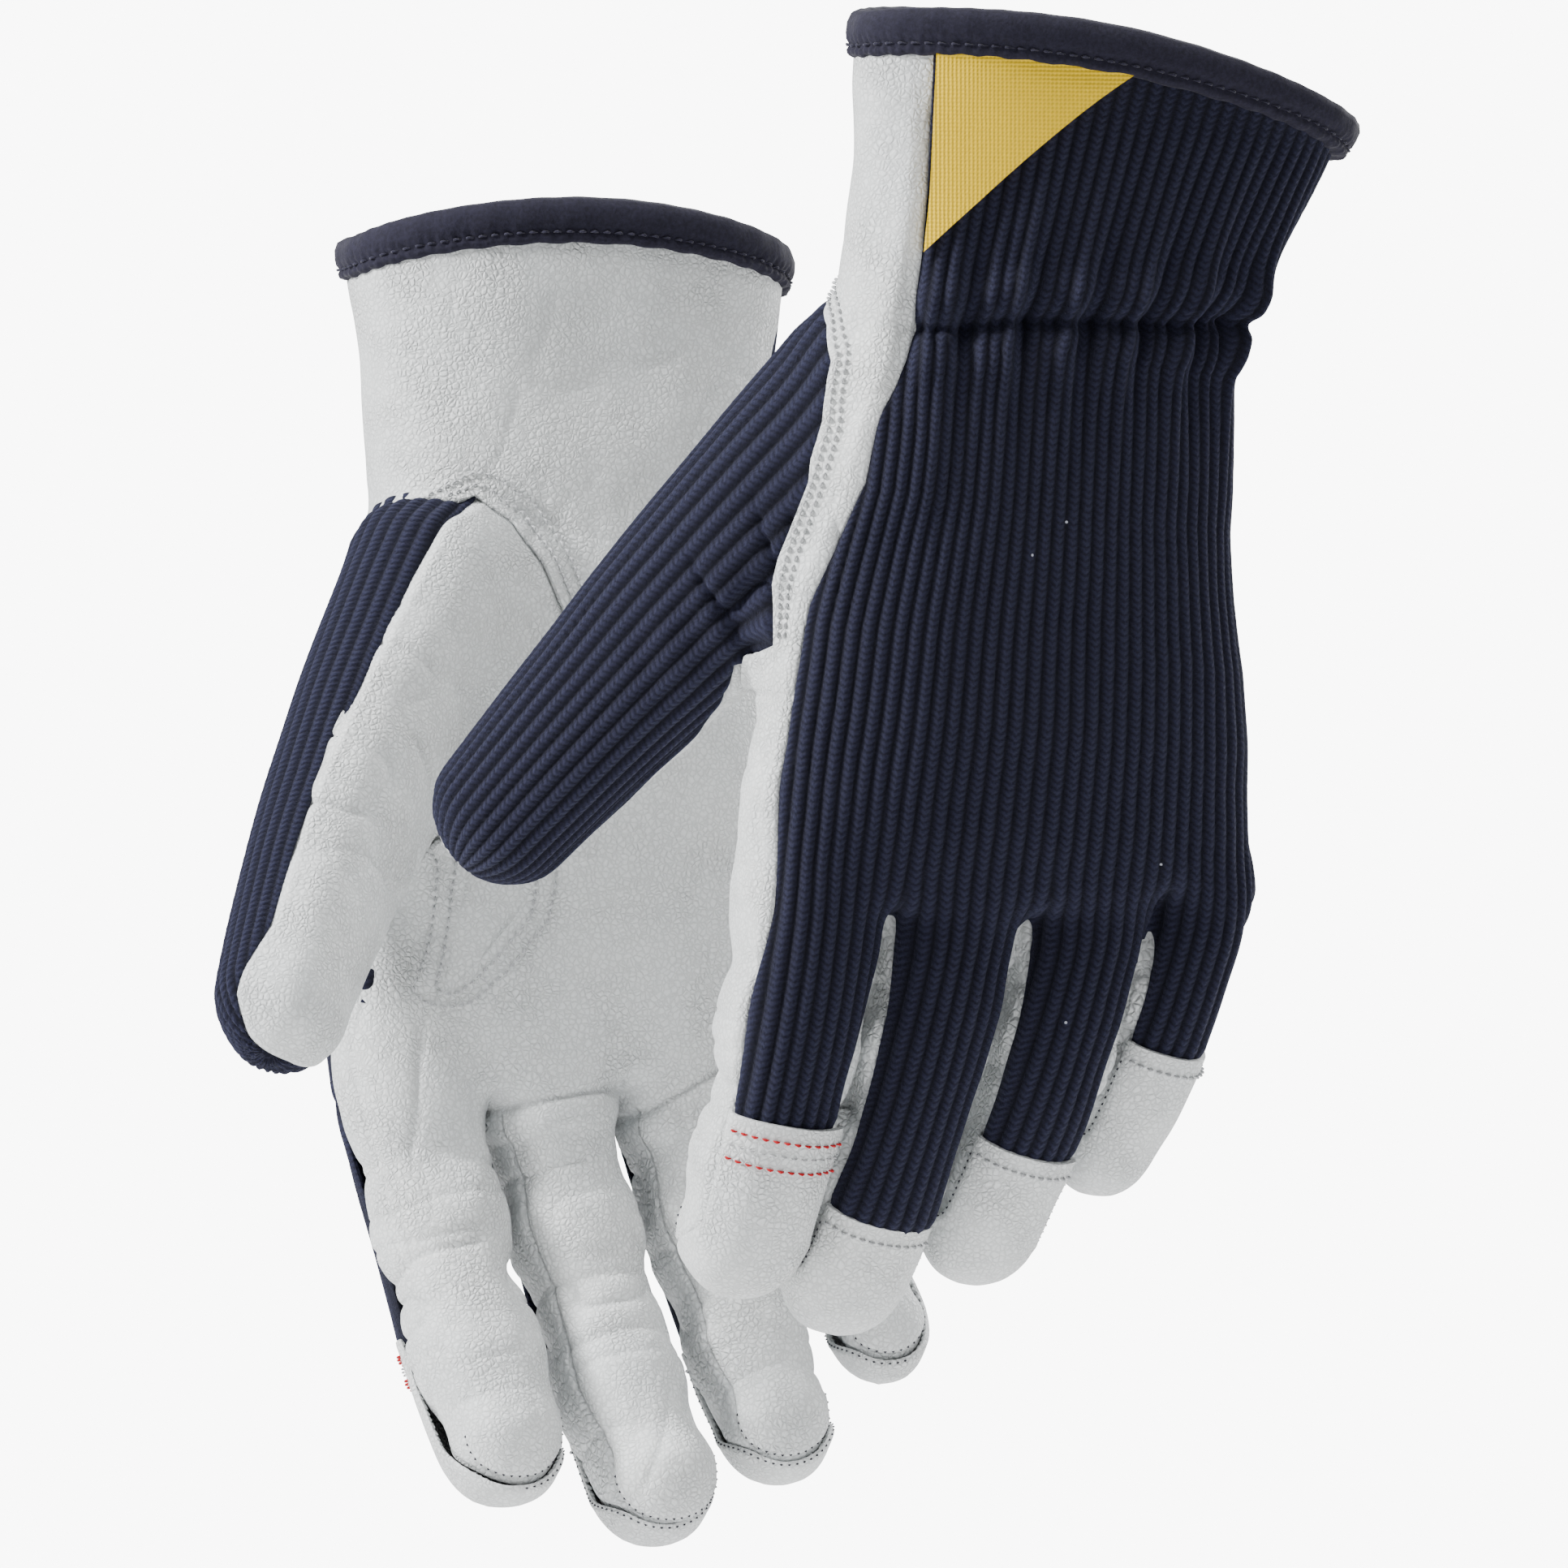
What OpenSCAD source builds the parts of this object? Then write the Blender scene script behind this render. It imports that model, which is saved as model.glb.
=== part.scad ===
// A pair of slip-on work gloves, stood upright as if a hand filled each one: cuffs up, fingers down.
// Leather palm, ribbed knit back, leather fingertip caps, taped cuff and an elastic gather at the wrist.
// Every glove is drawn as a right glove: thumb at -X, palm facing -Y. The left one is its mirror image.

/* [Pair] */
// Left cuff from the right cuff, sideways
pair_x = 99.5; // [90:0.5:130]
// Left cuff from the right cuff, front to back
pair_y = -165; // [-220:1:-160]
// Left cuff from the right cuff, up
pair_z = 28.5; // [0:0.5:40]
// Turn of both gloves about their own length, thumb side forward
roll = 20; // [0:1:30]
// Forward lean of the fingers, right and left glove
pitch = [6, 0]; // [0:0.5:12]
// Sideways lean of the cuff, right and left glove
tilt = [0, 6.7]; // [0:0.1:12]

/* [Hand] */
// Cuff rim to the hinge of the middle finger, just below its crotches, right and left glove
hand_length = [166, 161]; // [150:1:180]
// Half width of the cuff opening, right and left glove
cuff_half_width = [43, 48]; // [40:0.5:52]
// Half depth of the cuff opening, right and left glove
cuff_half_depth = [21, 16]; // [14:0.5:24]
// Half width at the elastic gather
wrist_half_width = 38.5; // [36:0.5:41]
// Half width across the finger roots
knuckle_half_width = 49; // [48:0.5:51]
// Sideways shift of the wrist, right and left glove
wrist_shift = [0, -8]; // [-10:0.5:4]
// Sideways shift of the finger roots, right and left glove
knuckle_shift = [6, -3]; // [-6:0.5:10]
// Height of the rim's arch at the middle of the palm and of the back
rim_arch = 7; // [0:0.5:9]
// Drop of the rim from the thumb side to the little finger side, right and left glove
rim_slant = [0, 9]; // [0:0.5:12]
// Thickness of a leather or knit panel
wall = 1.6; // [1.4:0.1:1.8]

/* [Fingers: index, middle, ring, little] */
// Hinge to fingertip
finger_length = [71, 79, 69, 56]; // [50:0.5:90]
// Sideways place of each finger from the middle of the finger roots
finger_offset = [-35.5, -8.8, 16.6, 38]; // [-40:0.1:42]
// Half width of each finger at its base
base_half_width = [13.2, 12.1, 11.3, 9.3]; // [8:0.1:14]
// Half width of each finger near its tip
tip_half_width = [11, 11, 10.4, 8.5]; // [7:0.1:12]
// Half depth of each finger
finger_half_depth = [13, 13, 12.5, 10.5]; // [9:0.5:14]
// Height of each finger's hinge above that of the middle finger
knuckle_rise = [-1, 0, 2, 8]; // [-4:0.5:12]
// Fan of the right glove's fingers, towards the little finger
fan_right = [12, 12.5, 14, 18]; // [0:0.5:20]
// Fan of the left glove's fingers, towards the little finger
fan_left = [-1, -5, -7, -8]; // [-10:0.5:10]
// Curl of each finger of the right glove, from its base to its tip
curl_right = [32, 32, 34, 36]; // [20:1:60]
// Curl of each finger of the left glove, from its base to its tip
curl_left = [34, 42, 48, 54]; // [20:1:60]
// Stretch of the finger stalls, right and left glove
finger_stretch = [1.05, 0.95]; // [0.9:0.01:1.1]
// Length of each fingertip cap
cap_length = [36, 27, 31, 33]; // [18:0.5:38]

/* [Thumb] */
// Root to tip of the thumb
thumb_length = 112; // [100:1:114]
// Half width of the thumb at its base and near its tip
thumb_half_width = [22, 12.5]; // [10:0.5:24]
// Half depth of the thumb at its base and near its tip
thumb_half_depth = [17, 11]; // [9:0.5:19]
// Spread of the thumb, right and left glove
thumb_spread = [33, 36]; // [20:1:45]
// Forward lean of the thumb towards the palm side
thumb_lean = 17; // [12:1:20]
// Turn of the thumb's pad towards the index finger
thumb_turn = 37; // [30:1:45]
// Curl of the thumb
thumb_curl = 14; // [5:1:20]

/* [Trim] */
// Width of the tape round the cuff
tape_width = 6.6; // [5:0.2:8]
// Thickness of the tape on each side of the rim
tape_wall = 0.8; // [0.6:0.1:1]
// Size of the sewn triangle label down the seam
label_drop = 29; // [20:1:32]
// Thickness of a stitch
thread = 0.6; // [0.4:0.1:0.8]

/* [Hidden] */

RIGHT = 0;
LEFT = 1;
INDEX = 0;
MIDDLE = 1;
RING = 2;
LITTLE = 3;

leather = [0.88, 0.89, 0.88];
knit = [0.12, 0.12, 0.22];
tape = [0.13, 0.12, 0.18];
yellow = [0.93, 0.83, 0.22];
red = [0.78, 0.12, 0.13];
grey = [0.72, 0.73, 0.74];

wrist_z = -52;
// The rim's arch and slant fade out at this depth below the cuff
rim_fade = 40;
// Exponent of the rounded ring that every section follows
ring_power = 2.5;
// Clearance between the hand's panels and the knuckle hinges, at the back and at the palm side
back_clearance = 4.5;
palm_clearance = 13;
// The hinge sits this far towards the palm from the middle of a finger
hinge_inset = 2.8;
// Angle between the edges of two neighbouring panels
seam_gap = 2;
// Angles of the seams round a section: 0 is the little finger side, 90 the back, 270 the palm
ulnar_seam = -28;
radial_seam = 158;
fourchette_half = 39;
// Last section of a fingertip, just short of the pole
tip_end = 0.985;
thumb_origin = [-24, -8, -68];
// Places along the thumb, as shares of its length: the sewn-in root's start, its ends at the front
// and at the back, and the starts of the moving part, either side of the hinge
thumb_hinge = 0.38;
root_start = thumb_hinge - 0.18;
root_front_end = thumb_hinge - 0.1;
root_back_end = thumb_hinge - 0.03;
thumb_back_start = thumb_hinge + 0.005;
thumb_front_start = thumb_hinge + 0.04;
// Thumb opening in the palm, from its top to its bottom
opening_top = -54;
opening_bottom = -130;

// ---- sections

function lerp(a, b, t) = a + (b - a) * t;
function rounded(v) = sign(v) * pow(abs(v), 2 / ring_power);

function hand_half_width(g, z) = lookup(z, [
    [0, cuff_half_width[g]], [wrist_z / 2, lerp(cuff_half_width[g], wrist_half_width, 0.6)],
    [wrist_z, wrist_half_width], [-80, wrist_half_width + 1.5], [-105, knuckle_half_width - 4],
    [-135, knuckle_half_width - 1], [-165, knuckle_half_width]]);
function hand_half_depth(g, z) = lookup(z, [
    [0, cuff_half_depth[g]], [wrist_z, 17], [-80, 19], [-120, 19], [-165, 14.5]]);
function hand_centre(g, z) = lookup(z, [
    [0, 0], [wrist_z, wrist_shift[g]], [-100, wrist_shift[g] * 0.8],
    [-hand_length[g], knuckle_shift[g]]]);
function rim_offset(g, a, z) =
    (rim_arch * pow(sin(a), 2) - rim_slant[g] * cos(a) / 2) * max(0, 1 + z / rim_fade);

// A point of the hand's wall at height z and angle a, inset from its outer face
function hand_point(g, z, a, inset) = [
    hand_centre(g, z) + (hand_half_width(g, z) - inset) * rounded(cos(a)),
    (hand_half_depth(g, z) - inset) * rounded(sin(a)),
    z + rim_offset(g, a, z)];

// Height of the knuckle line at angle a, from the hinges' heights
function knuckle_line(g, a) = -hand_length[g] + lookup(knuckle_half_width * rounded(cos(a)),
    [for (f = [INDEX : LITTLE]) [finger_offset[f], knuckle_rise[f]]]);
// Lower edge of the hand's panels: high round the sides and the palm, low at the back
function lower_edge(g, a) = knuckle_line(g, a)
    + lerp(palm_clearance, back_clearance, max(0, min(1, 2 * sin(a) - 0.4)));

// A point of a finger's wall, in the finger's own frame with its hinge at the origin.
// The middle line is an arc that curls towards the palm, and the end closes as a dome.
function stall_point(length, bend, widths, depths, s, a, inset) = let(
    turn = bend * s,
    radius = (length - inset) / bend * 180 / PI,
    dome_start = 1 - 0.95 * depths[1] / length,
    dome = s < dome_start ? 1 : sqrt(1 - pow((s - dome_start) / (1 - dome_start), 2)),
    x = (lerp(widths[0], widths[1], s) - inset) * dome * rounded(cos(a)),
    n = (lerp(depths[0], depths[1], s) - inset) * dome * rounded(sin(a)))
    [x, hinge_inset - radius * (1 - cos(turn)) + n * cos(turn), -radius * sin(turn) - n * sin(turn)];
function stall_length(g, f) = finger_length[f] * finger_stretch[g];
function finger_point(g, f, s, a, inset) = stall_point(stall_length(g, f),
    g == RIGHT ? curl_right[f] : curl_left[f],
    [base_half_width[f], tip_half_width[f]], [finger_half_depth[f], finger_half_depth[f]],
    s, a, inset);
function thumb_point(s, a, inset) = stall_point(thumb_length, thumb_curl, thumb_half_width,
    thumb_half_depth, s, a, inset);

// ---- solids

// A closed sheet between an outer and an inner grid of points. Cells in the hole, given as
// [first row, last row, first column, last column], are left out, and every free edge is walled.
module sheet(outer, inner, hole = [0, -1, 0, -1]) {
    rows = len(outer);
    cols = len(outer[0]);
    layer = rows * cols;
    function at(r, c) = r * cols + c;
    function solid(r, c) = r >= 0 && c >= 0 && r < rows - 1 && c < cols - 1
        && !(r >= hole[0] && r <= hole[1] && c >= hole[2] && c <= hole[3]);
    function quad(a, b, c, d) = [[a, b, c], [a, c, d]];
    polyhedron(
        points = concat([for (row = outer) each row], [for (row = inner) each row]),
        faces = [for (r = [0 : rows - 2], c = [0 : cols - 2]) if (solid(r, c)) each concat(
            quad(at(r, c), at(r, c + 1), at(r + 1, c + 1), at(r + 1, c)),
            quad(layer + at(r, c), layer + at(r + 1, c), layer + at(r + 1, c + 1),
                layer + at(r, c + 1)),
            solid(r - 1, c) ? [] : quad(at(r, c), layer + at(r, c), layer + at(r, c + 1),
                at(r, c + 1)),
            solid(r + 1, c) ? [] : quad(at(r + 1, c), at(r + 1, c + 1),
                layer + at(r + 1, c + 1), layer + at(r + 1, c)),
            solid(r, c - 1) ? [] : quad(at(r, c), at(r + 1, c), layer + at(r + 1, c),
                layer + at(r, c)),
            solid(r, c + 1) ? [] : quad(at(r, c + 1), layer + at(r, c + 1),
                layer + at(r + 1, c + 1), at(r + 1, c + 1)))]);
}

// A closed loop swept from a list of equal sections
module loop_of(sections) {
    count = len(sections);
    corners = len(sections[0]);
    function at(i, j) = (i % count) * corners + (j % corners);
    polyhedron(
        points = [for (section = sections) each section],
        faces = [for (i = [0 : count - 1], j = [0 : corners - 1]) each [
            [at(i, j), at(i, j + 1), at(i + 1, j + 1)],
            [at(i, j), at(i + 1, j + 1), at(i + 1, j)]]]);
}

// A stitch lying from point p to point q on a wall whose outward direction is out
module stitch(p, q, out) {
    along = (q - p) / norm(q - p);
    side = cross(out, along) / norm(cross(out, along));
    up = cross(along, side);
    multmatrix([
        [along[0], side[0], up[0], p[0]],
        [along[1], side[1], up[1], p[1]],
        [along[2], side[2], up[2], p[2]],
        [0, 0, 0, 1]])
        translate([norm(q - p) * 0.15, -thread / 2, 0.3])
            cube([norm(q - p) * 0.7, thread, thread]);
}

// ---- places

module glove(g) {
    if (g == RIGHT)
        rotate([-pitch[g], 0, 0]) rotate([0, 0, roll]) children();
    else
        translate([pair_x, pair_y, pair_z]) rotate([0, tilt[g], 0]) rotate([-pitch[g], 0, 0])
            rotate([0, 0, roll]) mirror([0, 1, 0]) children();
}

module at_finger(g, f) {
    fan = g == RIGHT ? fan_right[f] : fan_left[f];
    glove(g)
        translate([knuckle_shift[g] + finger_offset[f], -hinge_inset,
            -hand_length[g] + knuckle_rise[f]])
            rotate([0, -fan, 0]) children();
}

module at_thumb(g) {
    glove(g)
        translate([wrist_shift[g] + thumb_origin[0], thumb_origin[1], thumb_origin[2]])
            rotate([0, thumb_spread[g], 0]) rotate([-thumb_lean, 0, 0]) rotate([0, 0, thumb_turn])
                children();
}

// ---- hand panels

// Rows of the palm from the rim to the foot of the thumb opening, and one more below them
palm_heights = [-0.3, -12, -26, -40, opening_top, -66, -78, -92, -106, -118, opening_bottom];
palm_last_row = -141;
// Angle of the thumb opening's edge on the palm
function opening_edge(z) = lookup(z, [
    [opening_bottom, 205], [-118, 238], [-100, 252], [-78, 252], [opening_top, 215]]);
// Angles of the palm's columns at height z: knit seam, strip beside the thumb, opening, palm
function palm_angles(z) = let(
    strip = radial_seam + lookup(z, [[opening_bottom, 7], [-92, 9], [opening_top, 20]]),
    edge = opening_edge(z),
    last = 360 + ulnar_seam)
    [radial_seam, strip, lerp(strip, edge, 0.33), lerp(strip, edge, 0.67), edge,
        for (t = [0.12 : 0.125 : 0.87]) lerp(edge, last, t), last];
OPENING_CELLS = [4, 9, 1, 3];

function palm_grid(g, inset) = concat(
    [for (z = palm_heights) [for (a = palm_angles(z)) hand_point(g, z, a, inset)]],
    [[for (a = palm_angles(opening_bottom)) hand_point(g, palm_last_row, a, inset)]],
    [[for (a = palm_angles(opening_bottom)) hand_point(g, lower_edge(g, a), a, inset)]]);

module palm(g) {
    color(leather) glove(g)
        sheet(palm_grid(g, 0), palm_grid(g, wall), OPENING_CELLS);
}

function back_grid(g, inset) = [for (t = [0, 0.08, 0.18, 0.28, 0.36, 0.46, 0.58, 0.7, 0.82, 0.91, 1])
    [for (a = [ulnar_seam + seam_gap : (radial_seam - ulnar_seam - 2 * seam_gap) / 12
            : radial_seam - seam_gap + 0.01])
        hand_point(g, lerp(-0.3, lower_edge(g, a), t), a, inset)]];

module back(g) {
    color(knit) glove(g) sheet(back_grid(g, wall), back_grid(g, 0));
}

// Tape folded over the rim: a channel with the panels' edges inside it
module cuff_binding(g) {
    slip = 0.5;
    outline = [
        [-tape_wall - slip, -tape_width], [-tape_wall - slip, tape_wall],
        [wall + slip + tape_wall, tape_wall], [wall + slip + tape_wall, -tape_width],
        [wall + slip, -tape_width], [wall + slip, -slip / 2], [-slip, -slip / 2],
        [-slip, -tape_width]];
    color(tape) glove(g)
        loop_of([for (a = [0 : 6 : 354]) [for (p = outline)
            hand_point(g, min(p[1], 0), a, p[0]) + [0, 0, max(p[1], 0)]]]);
}

module wrist_elastic(g) {
    function band(inset) = [for (z = [wrist_z + 4, wrist_z - 4])
        [for (a = [-18 : 7 : 150]) hand_point(g, z, a, inset)]];
    color(grey) glove(g) sheet(band(wall + 1.9), band(wall + 1));
}

// Sewn triangle at the cuff: its long edge runs from the tape down to the leather seam
module label(g) {
    top = -tape_width - 0.4;
    function face(inset) = [for (t = [0 : 0.2 : 1]) let(z = top - label_drop * t)
        [for (u = [0 : 0.25 : 1]) hand_point(g, z,
            lerp(radial_seam - 3, lerp(90, radial_seam - 6, t), u), inset)]];
    color(yellow) glove(g) sheet(face(-0.9), face(-0.2));
}

// V-shaped leather lap below the thumb's crotch
module thumb_gusset(g) {
    function face(inset) = [for (t = [0 : 0.25 : 1]) let(z = lerp(-104, -134, t))
        [for (u = [0 : 0.5 : 1]) hand_point(g, z,
            lerp(opening_edge(-100) + 4, opening_edge(-100) + lerp(11, 5, t), u), inset)]];
    color(leather) glove(g) sheet(face(-1.1), face(-0.2));
}

// Two rows of stitches round the palm side of the thumb opening
module thumb_seam_stitching(g) {
    step = 5;
    color(grey) glove(g)
        for (row = [2.5, 6], z = [opening_top : -step : opening_top - 45]) {
            p = hand_point(g, z, opening_edge(z) + row, 0);
            q = hand_point(g, z - step, opening_edge(z - step) + row, 0);
            stitch(p, q, p - hand_point(g, z, opening_edge(z) + row, 1));
        }
}

// ---- stall panels

// Angles of a finger's panels: [first, last]
function back_angles(f) = [f == LITTLE ? ulnar_seam : fourchette_half + seam_gap / 2,
    f == INDEX ? radial_seam : 180 - fourchette_half - seam_gap / 2];
function front_angles(f) = [
    f == INDEX ? radial_seam + seam_gap : 180 + fourchette_half + seam_gap / 2,
    f == LITTLE ? 360 + ulnar_seam - seam_gap : 360 - fourchette_half - seam_gap / 2];
ulnar_side = [-fourchette_half + seam_gap / 2, fourchette_half - seam_gap / 2];
radial_side = [180 - fourchette_half + seam_gap / 2, 180 + fourchette_half - seam_gap / 2];

function cap_start(g, f) = 1 - cap_length[f] / stall_length(g, f);
function steps(first, last, count) = [for (i = [0 : count]) lerp(first, last, i / count)];
// Rows close up towards the dome so that it stays round
function stall_rows(first, last, length) = let(dome = 1 - 14 / length)
    last < dome ? steps(first, last, 4)
    : concat(first < dome - 0.05 ? steps(first, dome, 3) : [first],
        [for (t = [0.35, 0.62, 0.82, 0.94]) lerp(max(first, dome), last, t)], [last]);

module finger_panel(g, f, rows, angles, columns, colour) {
    function face(inset) = [for (s = rows)
        [for (a = steps(angles[0], angles[1], columns)) finger_point(g, f, s, a, inset)]];
    color(colour) at_finger(g, f) sheet(face(wall), face(0));
}

module finger_front(g, f) {
    finger_panel(g, f, stall_rows(7 / stall_length(g, f), tip_end, stall_length(g, f)),
        front_angles(f), f == INDEX || f == LITTLE ? 6 : 4, leather);
}
module finger_back(g, f) {
    finger_panel(g, f, steps(0.005, cap_start(g, f) - 0.006, 4), back_angles(f),
        f == INDEX || f == LITTLE ? 6 : 4, knit);
}
module finger_cap(g, f) {
    finger_panel(g, f, stall_rows(cap_start(g, f) + 0.004, tip_end, stall_length(g, f)),
        back_angles(f), f == INDEX || f == LITTLE ? 6 : 4, leather);
}
module finger_side(g, f, angles) {
    finger_panel(g, f, stall_rows(9 / stall_length(g, f), tip_end, stall_length(g, f)),
        angles, 3, leather);
}

// Two rows of red thread across the index fingertip cap
module index_cap_stitching(g) {
    count = 7;
    span = steps(back_angles(INDEX)[0] + 6, back_angles(INDEX)[1] - 6, count);
    color(red) at_finger(g, INDEX)
        for (row = [1.8, 6.6], i = [0 : count - 1]) {
            s = cap_start(g, INDEX) + row / stall_length(g, INDEX);
            p = finger_point(g, INDEX, s, span[i], 0);
            q = finger_point(g, INDEX, s, span[i + 1], 0);
            stitch(p, q, p - finger_point(g, INDEX, s, span[i], 1));
        }
}

module thumb_panel(g, rows, first, colour) {
    function face(inset) = [for (s = rows)
        [for (a = steps(first + seam_gap / 2, first + 180 - seam_gap / 2, 7))
            thumb_point(s, a, inset)]];
    color(colour) at_thumb(g) sheet(face(wall), face(0));
}
module thumb_front(g) {
    thumb_panel(g, stall_rows(thumb_front_start, tip_end, thumb_length), 180, leather);
}
module thumb_back(g) {
    thumb_panel(g, stall_rows(thumb_back_start, tip_end, thumb_length), 0, knit);
}
// The part of the thumb that is sewn into the palm and stays with the hand
module thumb_root_front(g) {
    thumb_panel(g, [root_start, root_front_end], 180, leather);
}
module thumb_root_back(g) {
    thumb_panel(g, steps(root_start, root_back_end, 2), 0, knit);
}

// ---- right glove
palm(RIGHT);  // right_palm
back(RIGHT);  // right_back
cuff_binding(RIGHT);  // right_cuff_binding
wrist_elastic(RIGHT);  // right_wrist_elastic
label(RIGHT);  // right_label
thumb_gusset(RIGHT);  // right_thumb_gusset
thumb_seam_stitching(RIGHT);  // right_thumb_seam_stitching
thumb_root_front(RIGHT);  // right_thumb_root_front
thumb_root_back(RIGHT);  // right_thumb_root_back
thumb_front(RIGHT);  // right_thumb_front
thumb_back(RIGHT);  // right_thumb_back
finger_front(RIGHT, INDEX);  // right_index_front
finger_back(RIGHT, INDEX);  // right_index_back
finger_side(RIGHT, INDEX, ulnar_side);  // right_index_fourchette
finger_cap(RIGHT, INDEX);  // right_index_cap
index_cap_stitching(RIGHT);  // right_index_cap_stitching
finger_front(RIGHT, MIDDLE);  // right_middle_front
finger_back(RIGHT, MIDDLE);  // right_middle_back
finger_side(RIGHT, MIDDLE, radial_side);  // right_middle_fourchette_radial
finger_side(RIGHT, MIDDLE, ulnar_side);  // right_middle_fourchette_ulnar
finger_cap(RIGHT, MIDDLE);  // right_middle_cap
finger_front(RIGHT, RING);  // right_ring_front
finger_back(RIGHT, RING);  // right_ring_back
finger_side(RIGHT, RING, radial_side);  // right_ring_fourchette_radial
finger_side(RIGHT, RING, ulnar_side);  // right_ring_fourchette_ulnar
finger_cap(RIGHT, RING);  // right_ring_cap
finger_front(RIGHT, LITTLE);  // right_little_front
finger_back(RIGHT, LITTLE);  // right_little_back
finger_side(RIGHT, LITTLE, radial_side);  // right_little_fourchette
finger_cap(RIGHT, LITTLE);  // right_little_cap

// ---- left glove
palm(LEFT);  // left_palm
back(LEFT);  // left_back
cuff_binding(LEFT);  // left_cuff_binding
wrist_elastic(LEFT);  // left_wrist_elastic
label(LEFT);  // left_label
thumb_gusset(LEFT);  // left_thumb_gusset
thumb_seam_stitching(LEFT);  // left_thumb_seam_stitching
thumb_root_front(LEFT);  // left_thumb_root_front
thumb_root_back(LEFT);  // left_thumb_root_back
thumb_front(LEFT);  // left_thumb_front
thumb_back(LEFT);  // left_thumb_back
finger_front(LEFT, INDEX);  // left_index_front
finger_back(LEFT, INDEX);  // left_index_back
finger_side(LEFT, INDEX, ulnar_side);  // left_index_fourchette
finger_cap(LEFT, INDEX);  // left_index_cap
index_cap_stitching(LEFT);  // left_index_cap_stitching
finger_front(LEFT, MIDDLE);  // left_middle_front
finger_back(LEFT, MIDDLE);  // left_middle_back
finger_side(LEFT, MIDDLE, radial_side);  // left_middle_fourchette_radial
finger_side(LEFT, MIDDLE, ulnar_side);  // left_middle_fourchette_ulnar
finger_cap(LEFT, MIDDLE);  // left_middle_cap
finger_front(LEFT, RING);  // left_ring_front
finger_back(LEFT, RING);  // left_ring_back
finger_side(LEFT, RING, radial_side);  // left_ring_fourchette_radial
finger_side(LEFT, RING, ulnar_side);  // left_ring_fourchette_ulnar
finger_cap(LEFT, RING);  // left_ring_cap
finger_front(LEFT, LITTLE);  // left_little_front
finger_back(LEFT, LITTLE);  // left_little_back
finger_side(LEFT, LITTLE, radial_side);  // left_little_fourchette
finger_cap(LEFT, LITTLE);  // left_little_cap
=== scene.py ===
"""Looks for a pair of work gloves: leather palms, ribbed knit backs, fingertip caps and taped cuffs.

Each glove is modelled as a right glove in millimetres: thumb at -X, palm facing -Y, cuff rim at Z 0.
A smooth solid is meshed from distance functions of the hand, fingers and thumb, cut along its seams
into panels, and each panel gets its own relief: ribs, gathers, grain, creases, laps and stitches.
"""
import math

import bpy
import numpy as np
import openvdb
from mathutils import Matrix, Vector


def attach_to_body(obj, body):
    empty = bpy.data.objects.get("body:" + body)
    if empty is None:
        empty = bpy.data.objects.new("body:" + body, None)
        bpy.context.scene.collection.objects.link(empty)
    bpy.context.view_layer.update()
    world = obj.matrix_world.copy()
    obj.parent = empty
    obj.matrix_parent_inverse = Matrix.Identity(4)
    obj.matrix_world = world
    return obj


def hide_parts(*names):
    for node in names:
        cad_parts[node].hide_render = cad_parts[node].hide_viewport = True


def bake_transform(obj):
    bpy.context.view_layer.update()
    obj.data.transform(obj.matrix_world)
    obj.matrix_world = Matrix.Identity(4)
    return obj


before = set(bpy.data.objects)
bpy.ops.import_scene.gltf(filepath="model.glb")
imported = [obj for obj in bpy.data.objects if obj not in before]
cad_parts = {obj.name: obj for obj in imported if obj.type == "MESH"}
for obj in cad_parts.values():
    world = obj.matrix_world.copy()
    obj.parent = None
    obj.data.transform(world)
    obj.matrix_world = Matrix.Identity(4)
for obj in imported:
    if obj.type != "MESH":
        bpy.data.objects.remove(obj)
MM = 0.001

# Millimetres. Pairs hold the right glove's value, then the left glove's.
VOXEL = 1.1
PAIR_PLACE = (99.5, -165.0, 28.5)
ROLL, PITCH, TILT = 20.0, (6.0, 0.0), (0.0, 6.7)
HAND_LENGTH = (166.0, 161.0)
CUFF_HALF_WIDTH, CUFF_HALF_DEPTH = (43.0, 48.0), (21.0, 16.0)
WRIST_HALF_WIDTH, KNUCKLE_HALF_WIDTH = 38.5, 49.0
WRIST_SHIFT, KNUCKLE_SHIFT = (0.0, -8.0), (6.0, -3.0)
RIM_ARCH, RIM_SLANT, RIM_FADE = 7.0, (0.0, 9.0), 40.0
WRIST_Z = -52.0
FINGERS = ("index", "middle", "ring", "little")
FINGER_LENGTH = (71.0, 79.0, 69.0, 56.0)
FINGER_OFFSET = (-35.5, -8.8, 16.6, 38.0)
BASE_HALF_WIDTH = (13.2, 12.1, 11.3, 9.3)
TIP_HALF_WIDTH = (11.0, 11.0, 10.4, 8.5)
FINGER_HALF_DEPTH = (13.0, 13.0, 12.5, 10.5)
KNUCKLE_RISE = (-1.0, 0.0, 2.0, 8.0)
FAN = ((12.0, 12.5, 14.0, 18.0), (-1.0, -5.0, -7.0, -8.0))
CURL = ((32.0, 32.0, 34.0, 36.0), (34.0, 42.0, 48.0, 54.0))
FINGER_STRETCH = (1.05, 0.95)
CAP_LENGTH = (36.0, 27.0, 31.0, 33.0)
HINGE_INSET = 2.8
# How far each finger runs up inside the hand
ROOT_LENGTH = (26.0, 26.0, 26.0, 8.0)
THUMB_ORIGIN = (-24.0, -8.0, -68.0)
THUMB_LENGTH = 112.0
THUMB_HALF_WIDTH, THUMB_HALF_DEPTH = (22.0, 12.5), (17.0, 11.0)
THUMB_SPREAD, THUMB_LEAN, THUMB_TURN, THUMB_CURL = (33.0, 36.0), 17.0, 37.0, 14.0
THUMB_HINGE = 0.38
TAPE_WIDTH = 6.6
RIB_PITCH = 2.8
RING_POWER = 2.4
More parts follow.
